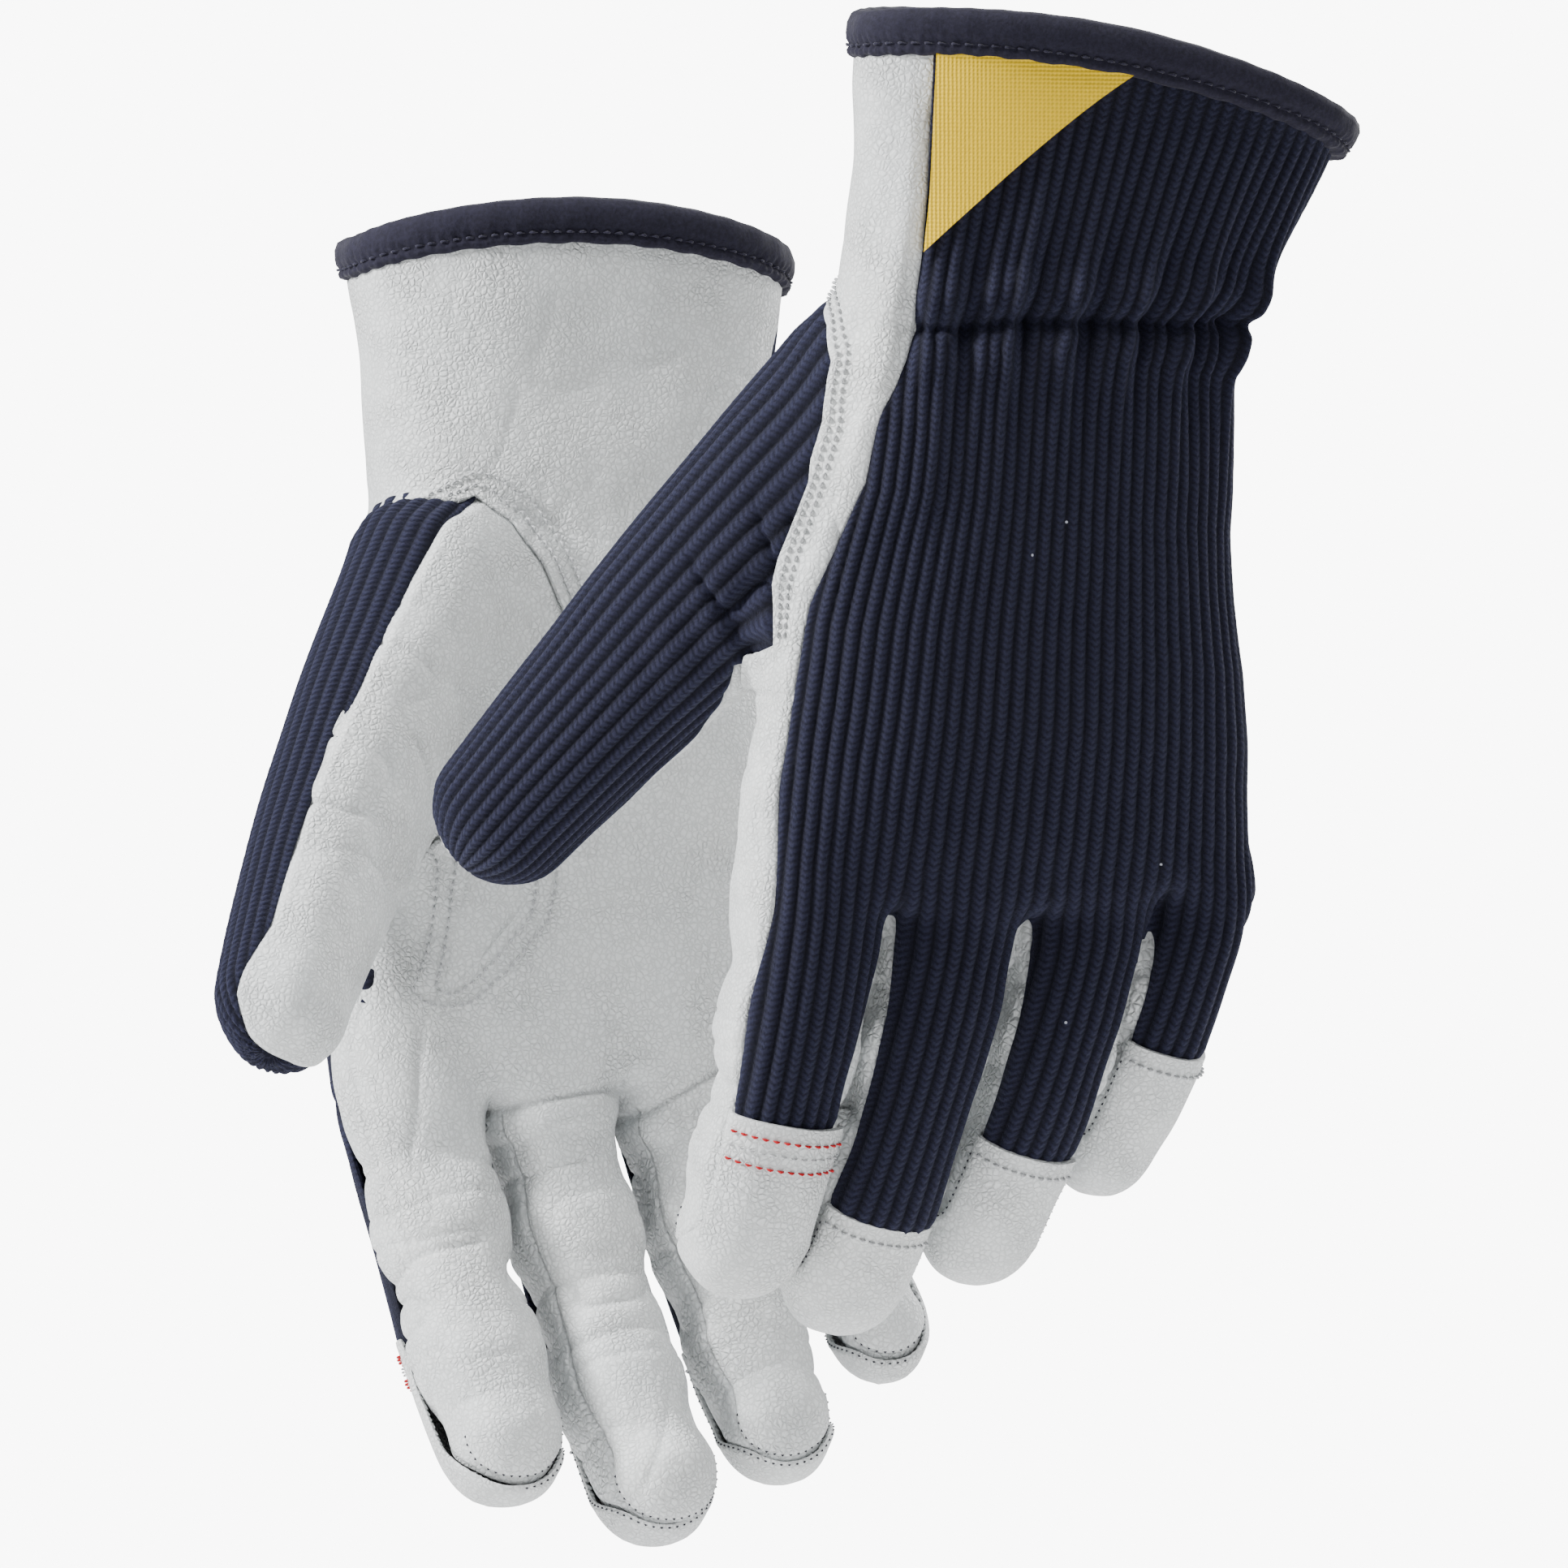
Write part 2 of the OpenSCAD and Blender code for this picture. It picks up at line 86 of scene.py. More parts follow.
# Heights of the three crotches above the middle finger's hinge, from the thumb side
CROTCH_RISE = (7.0, 9.0, 15.5)
# A finger's own panels start this far above its hinge, just below both of its crotches
FINGER_CUT = 4.5


# ---- numbers

def smoothstep(value, low, high):
    t = np.clip((value - low) / (high - low), 0, 1)
    return t * t * (3 - 2 * t)


def mix(a, b, t):
    return a + (b - a) * t


def turn(axis, degrees):
    return np.array(Matrix.Rotation(math.radians(degrees), 3, axis))


def smooth_min(a, b, k):
    h = np.clip(0.5 + 0.5 * (b - a) / k, 0, 1)
    return mix(b, a, h) - k * h * (1 - h)


def lattice_value(cells, seed):
    """A repeatable number from 0 to 1 for each lattice cell."""
    h = cells[..., 0] * 374761393 + cells[..., 1] * 668265263 + cells[..., 2] * 2147483647 + seed * 974634
    h = (h ^ (h >> 13)) * 1274126177
    return ((h ^ (h >> 16)) & 0xFFFF) / 65535.0


def noise(points, size, seed=0):
    """Smooth noise from -1 to 1 over points, with features of that size."""
    p = points / size
    base = np.floor(p).astype(np.int64)
    f = p - base
    f = f * f * (3 - 2 * f)
    total = np.zeros(len(p))
    for corner in np.ndindex(2, 2, 2):
        weight = np.prod(np.where(np.array(corner) == 1, f, 1 - f), axis=1)
        total += weight * lattice_value(base + np.array(corner), seed)
    return total * 2 - 1


def creases(points, size, seed=0, sharpness=3.0):
    """Noise whose zero lines are narrow folds: 0 on the flats, down to -1 in a fold."""
    return -np.exp(-sharpness * np.abs(noise(points, size, seed)) * 2.2)


# ---- the shape of one glove

class Stall:
    """A finger or thumb stall: an oval tube along an arc that curls to the palm, closed by a dome."""

    def __init__(self, origin, axes, length, curl, widths, depths, root):
        self.origin, self.axes, self.length = np.array(origin), axes, length
        self.curl = math.radians(curl)
        self.widths, self.depths, self.root = widths, depths, root

    def place(self, points):
        """Width, depth and length coordinates of points; the length is negative above the hinge."""
        p = (points - self.origin) @ self.axes
        radius = self.length / self.curl
        y = p[:, 1] - HINGE_INSET + radius
        angle = np.arctan2(-p[:, 2], y)
        along = np.where(angle > 0, angle * radius, -p[:, 2])
        depth = np.where(angle > 0, np.hypot(y, p[:, 2]) - radius, y - radius)
        return np.stack([p[:, 0], depth, along], axis=1)

    def at(self, width, depth, along):
        """The point of the glove at those coordinates."""
        radius = self.length / self.curl
        angle = along / radius
        y = HINGE_INSET - radius + (radius + depth) * np.cos(angle)
        z = -(radius + depth) * np.sin(angle)
        local = np.stack(np.broadcast_arrays(width, y, z), axis=-1)
        return self.origin + local @ self.axes.T

    def sizes(self, along):
        t = np.clip(along / self.length, 0, 1)
        return mix(self.widths[0], self.widths[1], t), mix(self.depths[0], self.depths[1], t)

    def distance(self, points):
        c = self.place(points)
        half_width, half_depth = self.sizes(c[:, 2])
        tip = self.depths[1] * 1.05
        over = np.maximum(c[:, 2] - (self.length - tip), 0)
        under = np.maximum(-c[:, 2] - self.root, 0)
        across = (np.abs(c[:, 0] / half_width) ** RING_POWER
                  + np.abs(c[:, 1] / half_depth) ** RING_POWER) ** (1 / RING_POWER)
        r = np.sqrt(across ** 2 + (over / tip) ** 2 + (under / (0.9 * half_depth)) ** 2)
        reach = np.sqrt(c[:, 0] ** 2 + c[:, 1] ** 2 + over ** 2 + under ** 2)
        return (1 - 1 / np.maximum(r, 0.05)) * np.maximum(reach, 0.4 * half_depth)


class Glove:
    def __init__(self, index, side):
        self.index, self.side = index, side
        g = index
        turned = turn("X", -PITCH[g]) @ turn("Z", ROLL)
        if side == "left":
            turned = turn("Y", TILT[g]) @ turned @ np.diag([1.0, -1.0, 1.0])
        self.rotation = turned
        self.place = np.array(PAIR_PLACE) if side == "left" else np.zeros(3)
        self.fingers = []
        for f in range(4):
            origin = (KNUCKLE_SHIFT[g] + FINGER_OFFSET[f], -HINGE_INSET,
                      -HAND_LENGTH[g] + KNUCKLE_RISE[f])
            self.fingers.append(Stall(
                origin, turn("Y", -FAN[g][f]), FINGER_LENGTH[f] * FINGER_STRETCH[g], CURL[g][f],
                (BASE_HALF_WIDTH[f], TIP_HALF_WIDTH[f]), (FINGER_HALF_DEPTH[f],) * 2, ROOT_LENGTH[f]))
        origin = (WRIST_SHIFT[g] + THUMB_ORIGIN[0], THUMB_ORIGIN[1], THUMB_ORIGIN[2])
        axes = turn("Y", THUMB_SPREAD[g]) @ turn("X", -THUMB_LEAN) @ turn("Z", THUMB_TURN)
        self.thumb = Stall(origin, axes, THUMB_LENGTH, THUMB_CURL, THUMB_HALF_WIDTH,
                           THUMB_HALF_DEPTH, 0.0)

    def to_row(self, points):
        """Row-frame metres of points in the glove's own millimetres."""
        return (points @ self.rotation.T + self.place) * MM

    def half_width(self, z):
        mid = mix(CUFF_HALF_WIDTH[self.index], WRIST_HALF_WIDTH, 0.6)
        return np.interp(z, [-165, -135, -105, -80, WRIST_Z, WRIST_Z / 2, 0], [
            KNUCKLE_HALF_WIDTH, KNUCKLE_HALF_WIDTH - 1, KNUCKLE_HALF_WIDTH - 4,
            WRIST_HALF_WIDTH + 1.5, WRIST_HALF_WIDTH, mid, CUFF_HALF_WIDTH[self.index]])

    def half_depth(self, z):
        return np.interp(z, [-163, -140, -120, -80, WRIST_Z, 0],
                         [10.5, 16.5, 19, 19, 17, CUFF_HALF_DEPTH[self.index]])

    def centre(self, z):
        shift = WRIST_SHIFT[self.index]
        return np.interp(z, [-HAND_LENGTH[self.index], -100, WRIST_Z, 0],
                         [KNUCKLE_SHIFT[self.index], shift * 0.8, shift, 0])

    def rim(self, points):
        """Height of the cuff's rim above or below the rim line, at the points' own angles."""
        x = points[:, 0] / CUFF_HALF_WIDTH[self.index]
        y = points[:, 1] / CUFF_HALF_DEPTH[self.index]
        length = np.maximum(np.hypot(x, y), 0.01)
        return RIM_ARCH * (y / length) ** 2 - RIM_SLANT[self.index] * (x / length) / 2

    def crotch(self, x):
        """Height of the lower end of the hand between the fingers, at x."""
        edges = KNUCKLE_SHIFT[self.index] + np.array([
            (FINGER_OFFSET[f] + BASE_HALF_WIDTH[f] + FINGER_OFFSET[f + 1] - BASE_HALF_WIDTH[f + 1]) / 2
            for f in range(3)])
        return np.interp(x, edges, np.array(CROTCH_RISE) - HAND_LENGTH[self.index])

    def hand_distance(self, points):
        z = np.clip(points[:, 2], -HAND_LENGTH[self.index], 0)
        x = points[:, 0] - self.centre(z)
        y = points[:, 1]
        r = (np.abs(x / self.half_width(z)) ** RING_POWER
             + np.abs(y / self.half_depth(z)) ** RING_POWER) ** (1 / RING_POWER)
        side = (1 - 1 / np.maximum(r, 0.05)) * np.maximum(np.hypot(x, y), 6)
        below = self.crotch(points[:, 0]) - points[:, 2]
        return -smooth_min(-side, -below, 4.0)

    def distance(self, points):
        """Signed distance of the whole glove, and those of its hand, fingers and thumb."""
        hand = self.hand_distance(points)
        fingers = [f.distance(points) for f in self.fingers]
        thumb = self.thumb.distance(points)
        row = fingers[0]
        for d in fingers[1:]:
            row = smooth_min(row, d, 1.2)
        whole = smooth_min(hand, row, 5.0)
        return smooth_min(whole, thumb, 9.0), hand, fingers, thumb

    def skin(self):
        """The glove's outer face as a triangle mesh, open at the cuff."""
        low = np.array([-112.0, -78.0, -262.0])
        high = np.array([78.0, 40.0, 14.0])
        counts = ((high - low) / VOXEL).astype(int)
        field = np.zeros(counts, np.float32)
        ys, zs = (low[i] + VOXEL * np.arange(counts[i]) for i in (1, 2))
        plane = np.stack(np.meshgrid(ys, zs, indexing="ij"), -1).reshape(-1, 2)
        for i in range(counts[0]):
            points = np.empty((len(plane), 3))
            points[:, 0] = low[0] + VOXEL * i
            points[:, 1:] = plane
            field[i] = self.distance(points)[0].reshape(counts[1:])
        grid = openvdb.FloatGrid(3.0)
        grid.copyFromArray(np.clip(field, -3.0, 3.0))
        verts, quads = grid.convertToQuads(0.0)
        verts = low + np.array(verts, float) * VOXEL
        quads = np.array(quads, np.int64)
        tris = np.concatenate([quads[:, [0, 1, 2]], quads[:, [0, 2, 3]]])
        volume = np.einsum("ij,ij->i", verts[tris[:, 0]],
                           np.cross(verts[tris[:, 1]], verts[tris[:, 2]])).sum()
        if volume < 0:
            tris = tris[:, ::-1]
        for _ in range(3):
            verts = relax(verts, tris)
        return verts, tris


# ---- mesh tools

# Columns of a patch's table: three each for rest, raised, normal and lean, two for uv, then one each
SPANS = {"rest": (0, 3), "raised": (3, 6), "normal": (6, 9), "lean": (9, 12), "uv": (12, 14)}
FIELDS = ("knit", "in_thumb", "opening", "in_finger", "in_cap", "front_edge", "width", "gusset",
          "under_rim", "thumb_knit", "thumb_width", "thumb_depth", "thumb_along", "along", "depth",
          "across", "drop", "long_edge", "in_index", "in_middle", "in_ring", "in_little")
SPANS.update({name: (14 + i, 15 + i) for i, name in enumerate(FIELDS)})
COLUMNS = 14 + len(FIELDS)


class Patch:
    """A piece of a glove's skin: a table with a row per vertex, and triangles."""

    def __init__(self, table, tris):
        self.table, self.tris = table, tris

    def __getitem__(self, name):
        first, last = SPANS[name]
        return self.table[:, first] if last == first + 1 else self.table[:, first:last]

    def __setitem__(self, name, values):
        first, last = SPANS[name]
        self.table[:, first:last] = values.reshape(len(self.table), last - first)

    def where(self, *fields):
        """The part of the patch where every field is above 0. A field is made from the patch."""
        patch = self
        for field in fields:
            if len(patch.tris):
                patch = Patch(*clip(patch.table, patch.tris, field(patch)))
        return patch

    def copy(self):
        return Patch(self.table.copy(), self.tris)

    def raise_by(self, heights):
        """Moves the skin out by heights, and finds the normals of the raised skin."""
        self["raised"] = self["rest"] + self["lean"] * heights[:, None]
        self["normal"] = normals_of(self["raised"], self.tris)
        return self


def relax(verts, tris, share=0.5):
    """Moves each vertex part of the way to the middle of its neighbours."""
    pairs = np.concatenate([tris[:, [0, 1]], tris[:, [1, 2]], tris[:, [2, 0]]])
    pairs = np.concatenate([pairs, pairs[:, ::-1]])
    count = np.bincount(pairs[:, 0], minlength=len(verts))
    total = np.stack([np.bincount(pairs[:, 0], verts[pairs[:, 1], k], len(verts)) for k in range(3)], 1)
    return mix(verts, total / np.maximum(count, 1)[:, None], share)


def normals_of(verts, tris):
    cross = np.cross(verts[tris[:, 1]] - verts[tris[:, 0]], verts[tris[:, 2]] - verts[tris[:, 0]])
    corners = tris.ravel()
    weights = np.repeat(cross, 3, axis=0)
    normals = np.stack([np.bincount(corners, weights[:, k], len(verts)) for k in range(3)], 1)
    return normals / np.maximum(np.linalg.norm(normals, axis=1), 1e-9)[:, None]


def clip(table, tris, field):
    """The part of a mesh where field is above 0, cut cleanly along the line where it is 0."""
    field = np.where(np.abs(field) < 1e-6, 1e-6, field)
    inside = field > 0
    count = inside[tris].sum(1)
    rows, found = [], {}

    def cut(a, b):
        key = (a, b) if a < b else (b, a)
        if key not in found:
            t = field[key[0]] / (field[key[0]] - field[key[1]])
            found[key] = len(table) + len(rows)
            rows.append(mix(table[key[0]], table[key[1]], t))
        return found[key]

    made = []
    for tri in tris[count == 1].tolist():
        while not inside[tri[0]]:
            tri = tri[1:] + tri[:1]
        made.append((tri[0], cut(tri[0], tri[1]), cut(tri[0], tri[2])))
    for tri in tris[count == 2].tolist():
        while inside[tri[0]]:
            tri = tri[1:] + tri[:1]
        first, last = cut(tri[0], tri[1]), cut(tri[0], tri[2])
        made += [(first, tri[1], tri[2]), (first, tri[2], last)]
    kept = tris[count == 3]
    if made:
        table = np.concatenate([table, np.array(rows)])
        kept = np.concatenate([kept, np.array(made, np.int64)])
    used, inverse = np.unique(kept, return_inverse=True)
    return table[used], inverse.reshape(kept.shape)


def line_paths(table, tris, field):
    """The lines on a mesh where field is 0, as runs of table rows."""
    field = np.where(np.abs(field) < 1e-6, 1e-6, field)
    inside = field > 0
    count = inside[tris].sum(1)
    links, rows = {}, {}
    for tri in tris[(count == 1) | (count == 2)].tolist():
        ends = []
        for a, b in zip(tri, tri[1:] + tri[:1]):
            if inside[a] != inside[b]:
                key = (a, b) if a < b else (b, a)
                t = field[key[0]] / (field[key[0]] - field[key[1]])
                rows[key] = mix(table[key[0]], table[key[1]], t)
                ends.append(key)
        for a, b in (ends, ends[::-1]):
            links.setdefault(a, []).append(b)
    paths, seen = [], set()
    for start in [k for k in links if len(links[k]) == 1] + list(links):
        if start in seen:
            continue
        chain, here = [], start
        while here is not None and here not in seen:
            seen.add(here)
            chain.append(rows[here])
            here = next((n for n in links[here] if n not in seen), None)
        if len(chain) > 5:
            paths.append(np.array(chain))
    return paths


def subdivide(verts, tris):
    """Each triangle split into four."""
    edges = np.sort(np.concatenate([tris[:, [0, 1]], tris[:, [1, 2]], tris[:, [2, 0]]]), axis=1)
    unique, inverse = np.unique(edges, axis=0, return_inverse=True)
    inverse = inverse.reshape(-1) + len(verts)
    verts = np.concatenate([verts, (verts[unique[:, 0]] + verts[unique[:, 1]]) / 2])
    ab, bc, ca = np.split(inverse, 3)
    a, b, c = tris.T
    tris = np.concatenate([np.stack(t, 1) for t in ((a, ab, ca), (ab, b, bc), (ca, bc, c), (ab, bc, ca))])
    return verts, tris


def inside_outline(points, outline):
    """Signed distance of plane points from a closed outline, above 0 inside it."""
    corners = np.array(outline, float)
    ends = np.roll(corners, -1, axis=0)
    nearest = np.full(len(points), 1e9)
    inside = np.zeros(len(points), bool)
    for a, b in zip(corners, ends):
        along = b - a
        t = np.clip(((points - a) @ along) / (along @ along), 0, 1)
        nearest = np.minimum(nearest, np.linalg.norm(points - a - t[:, None] * along, axis=1))
        crosses = (a[1] > points[:, 1]) != (b[1] > points[:, 1])
        level = a[0] + (points[:, 1] - a[1]) * (b[0] - a[0]) / (b[1] - a[1] + 1e-9)
        inside ^= crosses & (points[:, 0] < level)
    return np.where(inside, nearest, -nearest)


def new_object(name, glove, verts, tris, material, uv=None, normals=None):
    mesh = bpy.data.meshes.new(name)
    if glove.side == "left":
        tris = tris[:, ::-1]
    mesh.from_pydata(glove.to_row(verts).tolist(), [], tris.tolist())
    if uv is not None:
        layer = mesh.uv_layers.new(name="UVMap")
        corners = np.zeros(len(mesh.loops), np.int32)
        mesh.loops.foreach_get("vertex_index", corners)
        layer.data.foreach_set("uv", uv[corners].astype(np.float32).ravel())
    mesh.polygons.foreach_set("use_smooth", np.ones(len(mesh.polygons), bool))
    mesh.materials.append(material)
    if normals is not None:
        mesh.normals_split_custom_set_from_vertices((normals @ glove.rotation.T).tolist())
    obj = bpy.data.objects.new(name, mesh)
    bpy.context.scene.collection.objects.link(obj)
    return obj


def panel(glove, name, patch, mat, thickness=1.0, with_uv=False):
    """A sheet with the patch's raised skin as its outer face, and its cut edges turned in."""
    verts, normals, tris = patch["raised"], patch["normal"], patch.tris
    edges = np.concatenate([tris[:, [0, 1]], tris[:, [1, 2]], tris[:, [2, 0]]])
    codes = edges[:, 0] * len(verts) + edges[:, 1]
    reverse = edges[:, 1] * len(verts) + edges[:, 0]
    free = edges[~np.isin(codes, reverse)]
    rim, inverse = np.unique(free, return_inverse=True)
    a, b = inverse.reshape(free.shape).T
    count = len(rim)
    edge_verts = np.concatenate([verts[rim], verts[rim] - normals[rim] * thickness])
    edge_tris = np.concatenate([np.stack([b, a, a + count], 1), np.stack([b, a + count, b + count], 1)])
    edge_normals = normals_of(edge_verts, edge_tris)
    edge_normals[:count] = edge_normals[:count] + normals[rim]
    edge_normals /= np.maximum(np.linalg.norm(edge_normals, axis=1), 1e-9)[:, None]
    uv = np.concatenate([patch["uv"], patch["uv"][rim], patch["uv"][rim]]) if with_uv else None
    return new_object(name, glove, np.concatenate([verts, edge_verts]),
                      np.concatenate([tris, edge_tris + len(verts)]), mat, uv,
                      np.concatenate([normals, edge_normals]))


# ---- materials

def material(name, base, roughness, sheen=0.0, specular=0.5):
    made = bpy.data.materials.new(name)
    made.use_nodes = True
    shader = made.node_tree.nodes["Principled BSDF"]
    shader.inputs["Base Color"].default_value = (*base, 1)
    shader.inputs["Roughness"].default_value = roughness
    shader.inputs["Sheen Weight"].default_value = sheen
    shader.inputs["Sheen Roughness"].default_value = 0.4
    shader.inputs["Specular IOR Level"].default_value = specular
    return made, made.node_tree, shader


def add(tree, kind, **values):
    node = tree.nodes.new(kind)
    for key, value in values.items():
        if key in node.inputs:
            node.inputs[key].default_value = value
        else:
            setattr(node, key, value)
    return node


def ramp(tree, source, low, high, colours):
    node = tree.nodes.new("ShaderNodeValToRGB")
    node.color_ramp.elements[0].position, node.color_ramp.elements[1].position = low, high
    node.color_ramp.elements[0].color = (*colours[0], 1)
    node.color_ramp.elements[1].color = (*colours[1], 1)
    tree.links.new(source, node.inputs["Fac"])
    return node.outputs["Color"]


def bump(tree, height, distance, strength=1.0, under=None):
    """A bump node of that height times a distance in millimetres, on top of the normals under it."""
    node = add(tree, "ShaderNodeBump", Distance=distance * MM, Strength=strength)
    tree.links.new(height, node.inputs["Height"])
    if under is not None:
        tree.links.new(under, node.inputs["Normal"])
    return node


def multiply(tree, first, second):
    node = add(tree, "ShaderNodeMix", data_type="RGBA", blend_type="MULTIPLY")
    node.inputs["Factor"].default_value = 1.0
    tree.links.new(first, node.inputs[6])
    tree.links.new(second, node.inputs[7])
    return node.outputs[2]


def leather_material(name, base, grain=1.7, depth=0.3):
    made, tree, shader = material(name, base, 0.5, 0.04, 0.4)
    coordinates = add(tree, "ShaderNodeTexCoord")
    link = tree.links.new
    cells = add(tree, "ShaderNodeTexVoronoi", feature="DISTANCE_TO_EDGE", Scale=1000 / grain * 1.6)
    warp = add(tree, "ShaderNodeTexNoise", Scale=500.0, Detail=2.0)
    shifted = add(tree, "ShaderNodeMix", data_type="VECTOR")
    shifted.inputs["Factor"].default_value = 0.0012
    link(coordinates.outputs["Object"], warp.inputs["Vector"])
    link(coordinates.outputs["Object"], shifted.inputs[4])
    link(warp.outputs["Color"], shifted.inputs[5])
    link(shifted.outputs[1], cells.inputs["Vector"])
    valleys = ramp(tree, cells.outputs["Distance"], 0.0, 0.28, ((0,) * 3, (1,) * 3))
    pores = add(tree, "ShaderNodeTexNoise", Scale=2600.0, Detail=3.0, Roughness=0.6)
    broad = add(tree, "ShaderNodeTexNoise", Scale=46.0, Detail=4.0, Roughness=0.55)
    patches = add(tree, "ShaderNodeTexNoise", Scale=90.0, Detail=2.0)
    for texture in (pores, broad, patches):
        link(coordinates.outputs["Object"], texture.inputs["Vector"])
    strength = ramp(tree, patches.outputs["Fac"], 0.32, 0.68, ((0.25,) * 3, (1.0,) * 3))
    grained = bump(tree, valleys, depth)
    link(strength, grained.inputs["Strength"])
    pored = bump(tree, pores.outputs["Fac"], 0.12, 0.7, grained.outputs["Normal"])
    rolling = bump(tree, broad.outputs["Fac"], 1.6, 0.8, pored.outputs["Normal"])
    link(rolling.outputs["Normal"], shader.inputs["Normal"])
    # Painted shade: the grain's valleys are darkened to 0.78 of the base colour.
    painted_grain_shade = ramp(tree, valleys, 0.0, 0.75, (tuple(0.78 * c for c in base), base))
    # Painted shade: the low parts of the broad rolling bump are darkened a little.
    shade = ramp(tree, broad.outputs["Fac"], 0.3, 0.7, ((0.93, 0.94, 0.95), (1.0, 1.0, 1.0)))
    link(multiply(tree, painted_grain_shade, shade), shader.inputs["Base Color"])
    return made


def knit_material(name, base, light, loop=1.25):
    """Knit loops run along V in millimetres, ribs across U in rib counts."""
    made, tree, shader = material(name, base, 0.92, 0.12, 0.2)
    shader.inputs["Sheen Tint"].default_value = (0.35, 0.38, 0.65, 1)
    link = tree.links.new
    uv = add(tree, "ShaderNodeUVMap", uv_map="UVMap")
    split = add(tree, "ShaderNodeSeparateXYZ")
    link(uv.outputs["UV"], split.inputs["Vector"])

    def maths(kind, *values):
        node = add(tree, "ShaderNodeMath", operation=kind)
        for socket, value in zip(node.inputs, values):
            if isinstance(value, (int, float)):
                socket.default_value = value
            else:
                link(value, socket)
        return node.outputs[0]

    u, v = split.outputs["X"], split.outputs["Y"]
    across = maths("ABSOLUTE", maths("SUBTRACT", maths("FRACT", u), 0.5))
    slanted = maths("ADD", maths("MULTIPLY", v, 2 * math.pi / loop), maths("MULTIPLY", across, 9.0))
    loops = maths("MULTIPLY_ADD", maths("SINE", slanted), 0.5, 0.5)
    crest = maths("SUBTRACT", 1.0, maths("MULTIPLY", across, 1.7))
    coordinates = add(tree, "ShaderNodeTexCoord")
    fuzz = add(tree, "ShaderNodeTexNoise", Scale=2400.0, Detail=4.0, Roughness=0.7)
    link(coordinates.outputs["Object"], fuzz.inputs["Vector"])
    height = maths("ADD", maths("MULTIPLY", loops, maths("MULTIPLY", maths("MAXIMUM", crest, 0.15), 0.62)),
                   maths("MULTIPLY", fuzz.outputs["Fac"], 1.2))
    link(bump(tree, height, 0.42, 0.9).outputs["Normal"], shader.inputs["Normal"])
    # Painted shade: the valleys between the ribs are darkened to 0.35 of the base colour.
    dark = tuple(0.35 * c for c in base)
    painted_rib_shade = ramp(tree, crest, 0.2, 0.75, (dark, base))
    # Painted shade and highlight: the loops' low parts are darkened and their tops lightened to the light
    # colour.
    painted_loop_shading = ramp(tree, height, 0.45, 1.35, ((0.55,) * 3, tuple(l / b for l, b in zip(light, base))))
    lint = add(tree, "ShaderNodeTexVoronoi", Scale=175.0)
    link(coordinates.outputs["Object"], lint.inputs["Vector"])
    rare = add(tree, "ShaderNodeSeparateColor")
    link(lint.outputs["Color"], rare.inputs["Color"])
    speck = maths("MULTIPLY", maths("LESS_THAN", lint.outputs["Distance"], 0.045),
                  maths("LESS_THAN", rare.outputs[0], 0.16))
    final = add(tree, "ShaderNodeMix", data_type="RGBA")
    link(speck, final.inputs["Factor"])
    link(multiply(tree, painted_rib_shade, painted_loop_shading), final.inputs[6])
    final.inputs[7].default_value = (0.5, 0.52, 0.6, 1)
    link(final.outputs[2], shader.inputs["Base Color"])
    return made


def cloth_material(name, base, scale=1500.0, roughness=0.85, sheen=0.2):
    """Fine woven or jersey cloth, tape and thread."""
    made, tree, shader = material(name, base, roughness, sheen, 0.25)
    link = tree.links.new
    coordinates = add(tree, "ShaderNodeTexCoord")
    weave = add(tree, "ShaderNodeTexNoise", Scale=scale, Detail=3.0, Roughness=0.65)
    link(coordinates.outputs["Object"], weave.inputs["Vector"])
    link(bump(tree, weave.outputs["Fac"], 0.18, 0.8).outputs["Normal"], shader.inputs["Normal"])
    # Painted shade and highlight: the low parts of the weave are darkened and the high parts lightened.
    shade = ramp(tree, weave.outputs["Fac"], 0.3, 0.7,
                 (tuple(0.6 * c for c in base), tuple(min(1.0, 1.25 * c) for c in base)))
    link(shade, shader.inputs["Base Color"])
    return made


def label_material(name, base):
    """Plain woven label: fine crossed ribs."""
    made, tree, shader = material(name, base, 0.7, 0.1, 0.3)
    link = tree.links.new
    coordinates = add(tree, "ShaderNodeTexCoord")
    heights = []
    for direction in ("X", "Z"):
        wave = add(tree, "ShaderNodeTexWave", bands_direction=direction, Scale=420.0, Distortion=0.6)
        link(coordinates.outputs["Object"], wave.inputs["Vector"])
        heights.append(wave.outputs["Fac"])
    total = add(tree, "ShaderNodeMath", operation="ADD")
    link(heights[0], total.inputs[0])
    link(heights[1], total.inputs[1])
    link(bump(tree, total.outputs[0], 0.16, 0.7).outputs["Normal"], shader.inputs["Normal"])
    # Painted shade: the low parts of the crossed ribs are darkened.
    shade = ramp(tree, total.outputs[0], 0.2, 1.6, (tuple(0.78 * c for c in base), base))
    link(shade, shader.inputs["Base Color"])
    return made


LEATHER = leather_material("leather", (0.68, 0.695, 0.69))
GRAINY = leather_material("grained_leather", (0.66, 0.68, 0.68), 2.3, 0.42)
# The knit's second colour is the painted highlight on the tops of its loops.
KNIT = knit_material("knit", (0.0095, 0.0097, 0.025), (0.016, 0.017, 0.038))
TAPE = cloth_material("tape", (0.013, 0.012, 0.024), 1300.0, 0.9, 0.08)
TAPE_THREAD = cloth_material("tape_thread", (0.022, 0.021, 0.04), 3000.0)
ELASTIC = cloth_material("elastic", (0.45, 0.45, 0.47), 900.0)
YELLOW = label_material("label", (0.80, 0.52, 0.002))
GREY_THREAD = cloth_material("grey_thread", (0.47, 0.48, 0.49), 3000.0)
RED_THREAD = cloth_material("red_thread", (0.45, 0.004, 0.01), 3000.0)
DARK_THREAD = cloth_material("dark_thread", (0.035, 0.035, 0.045), 3000.0)


# ---- where each point of a glove belongs

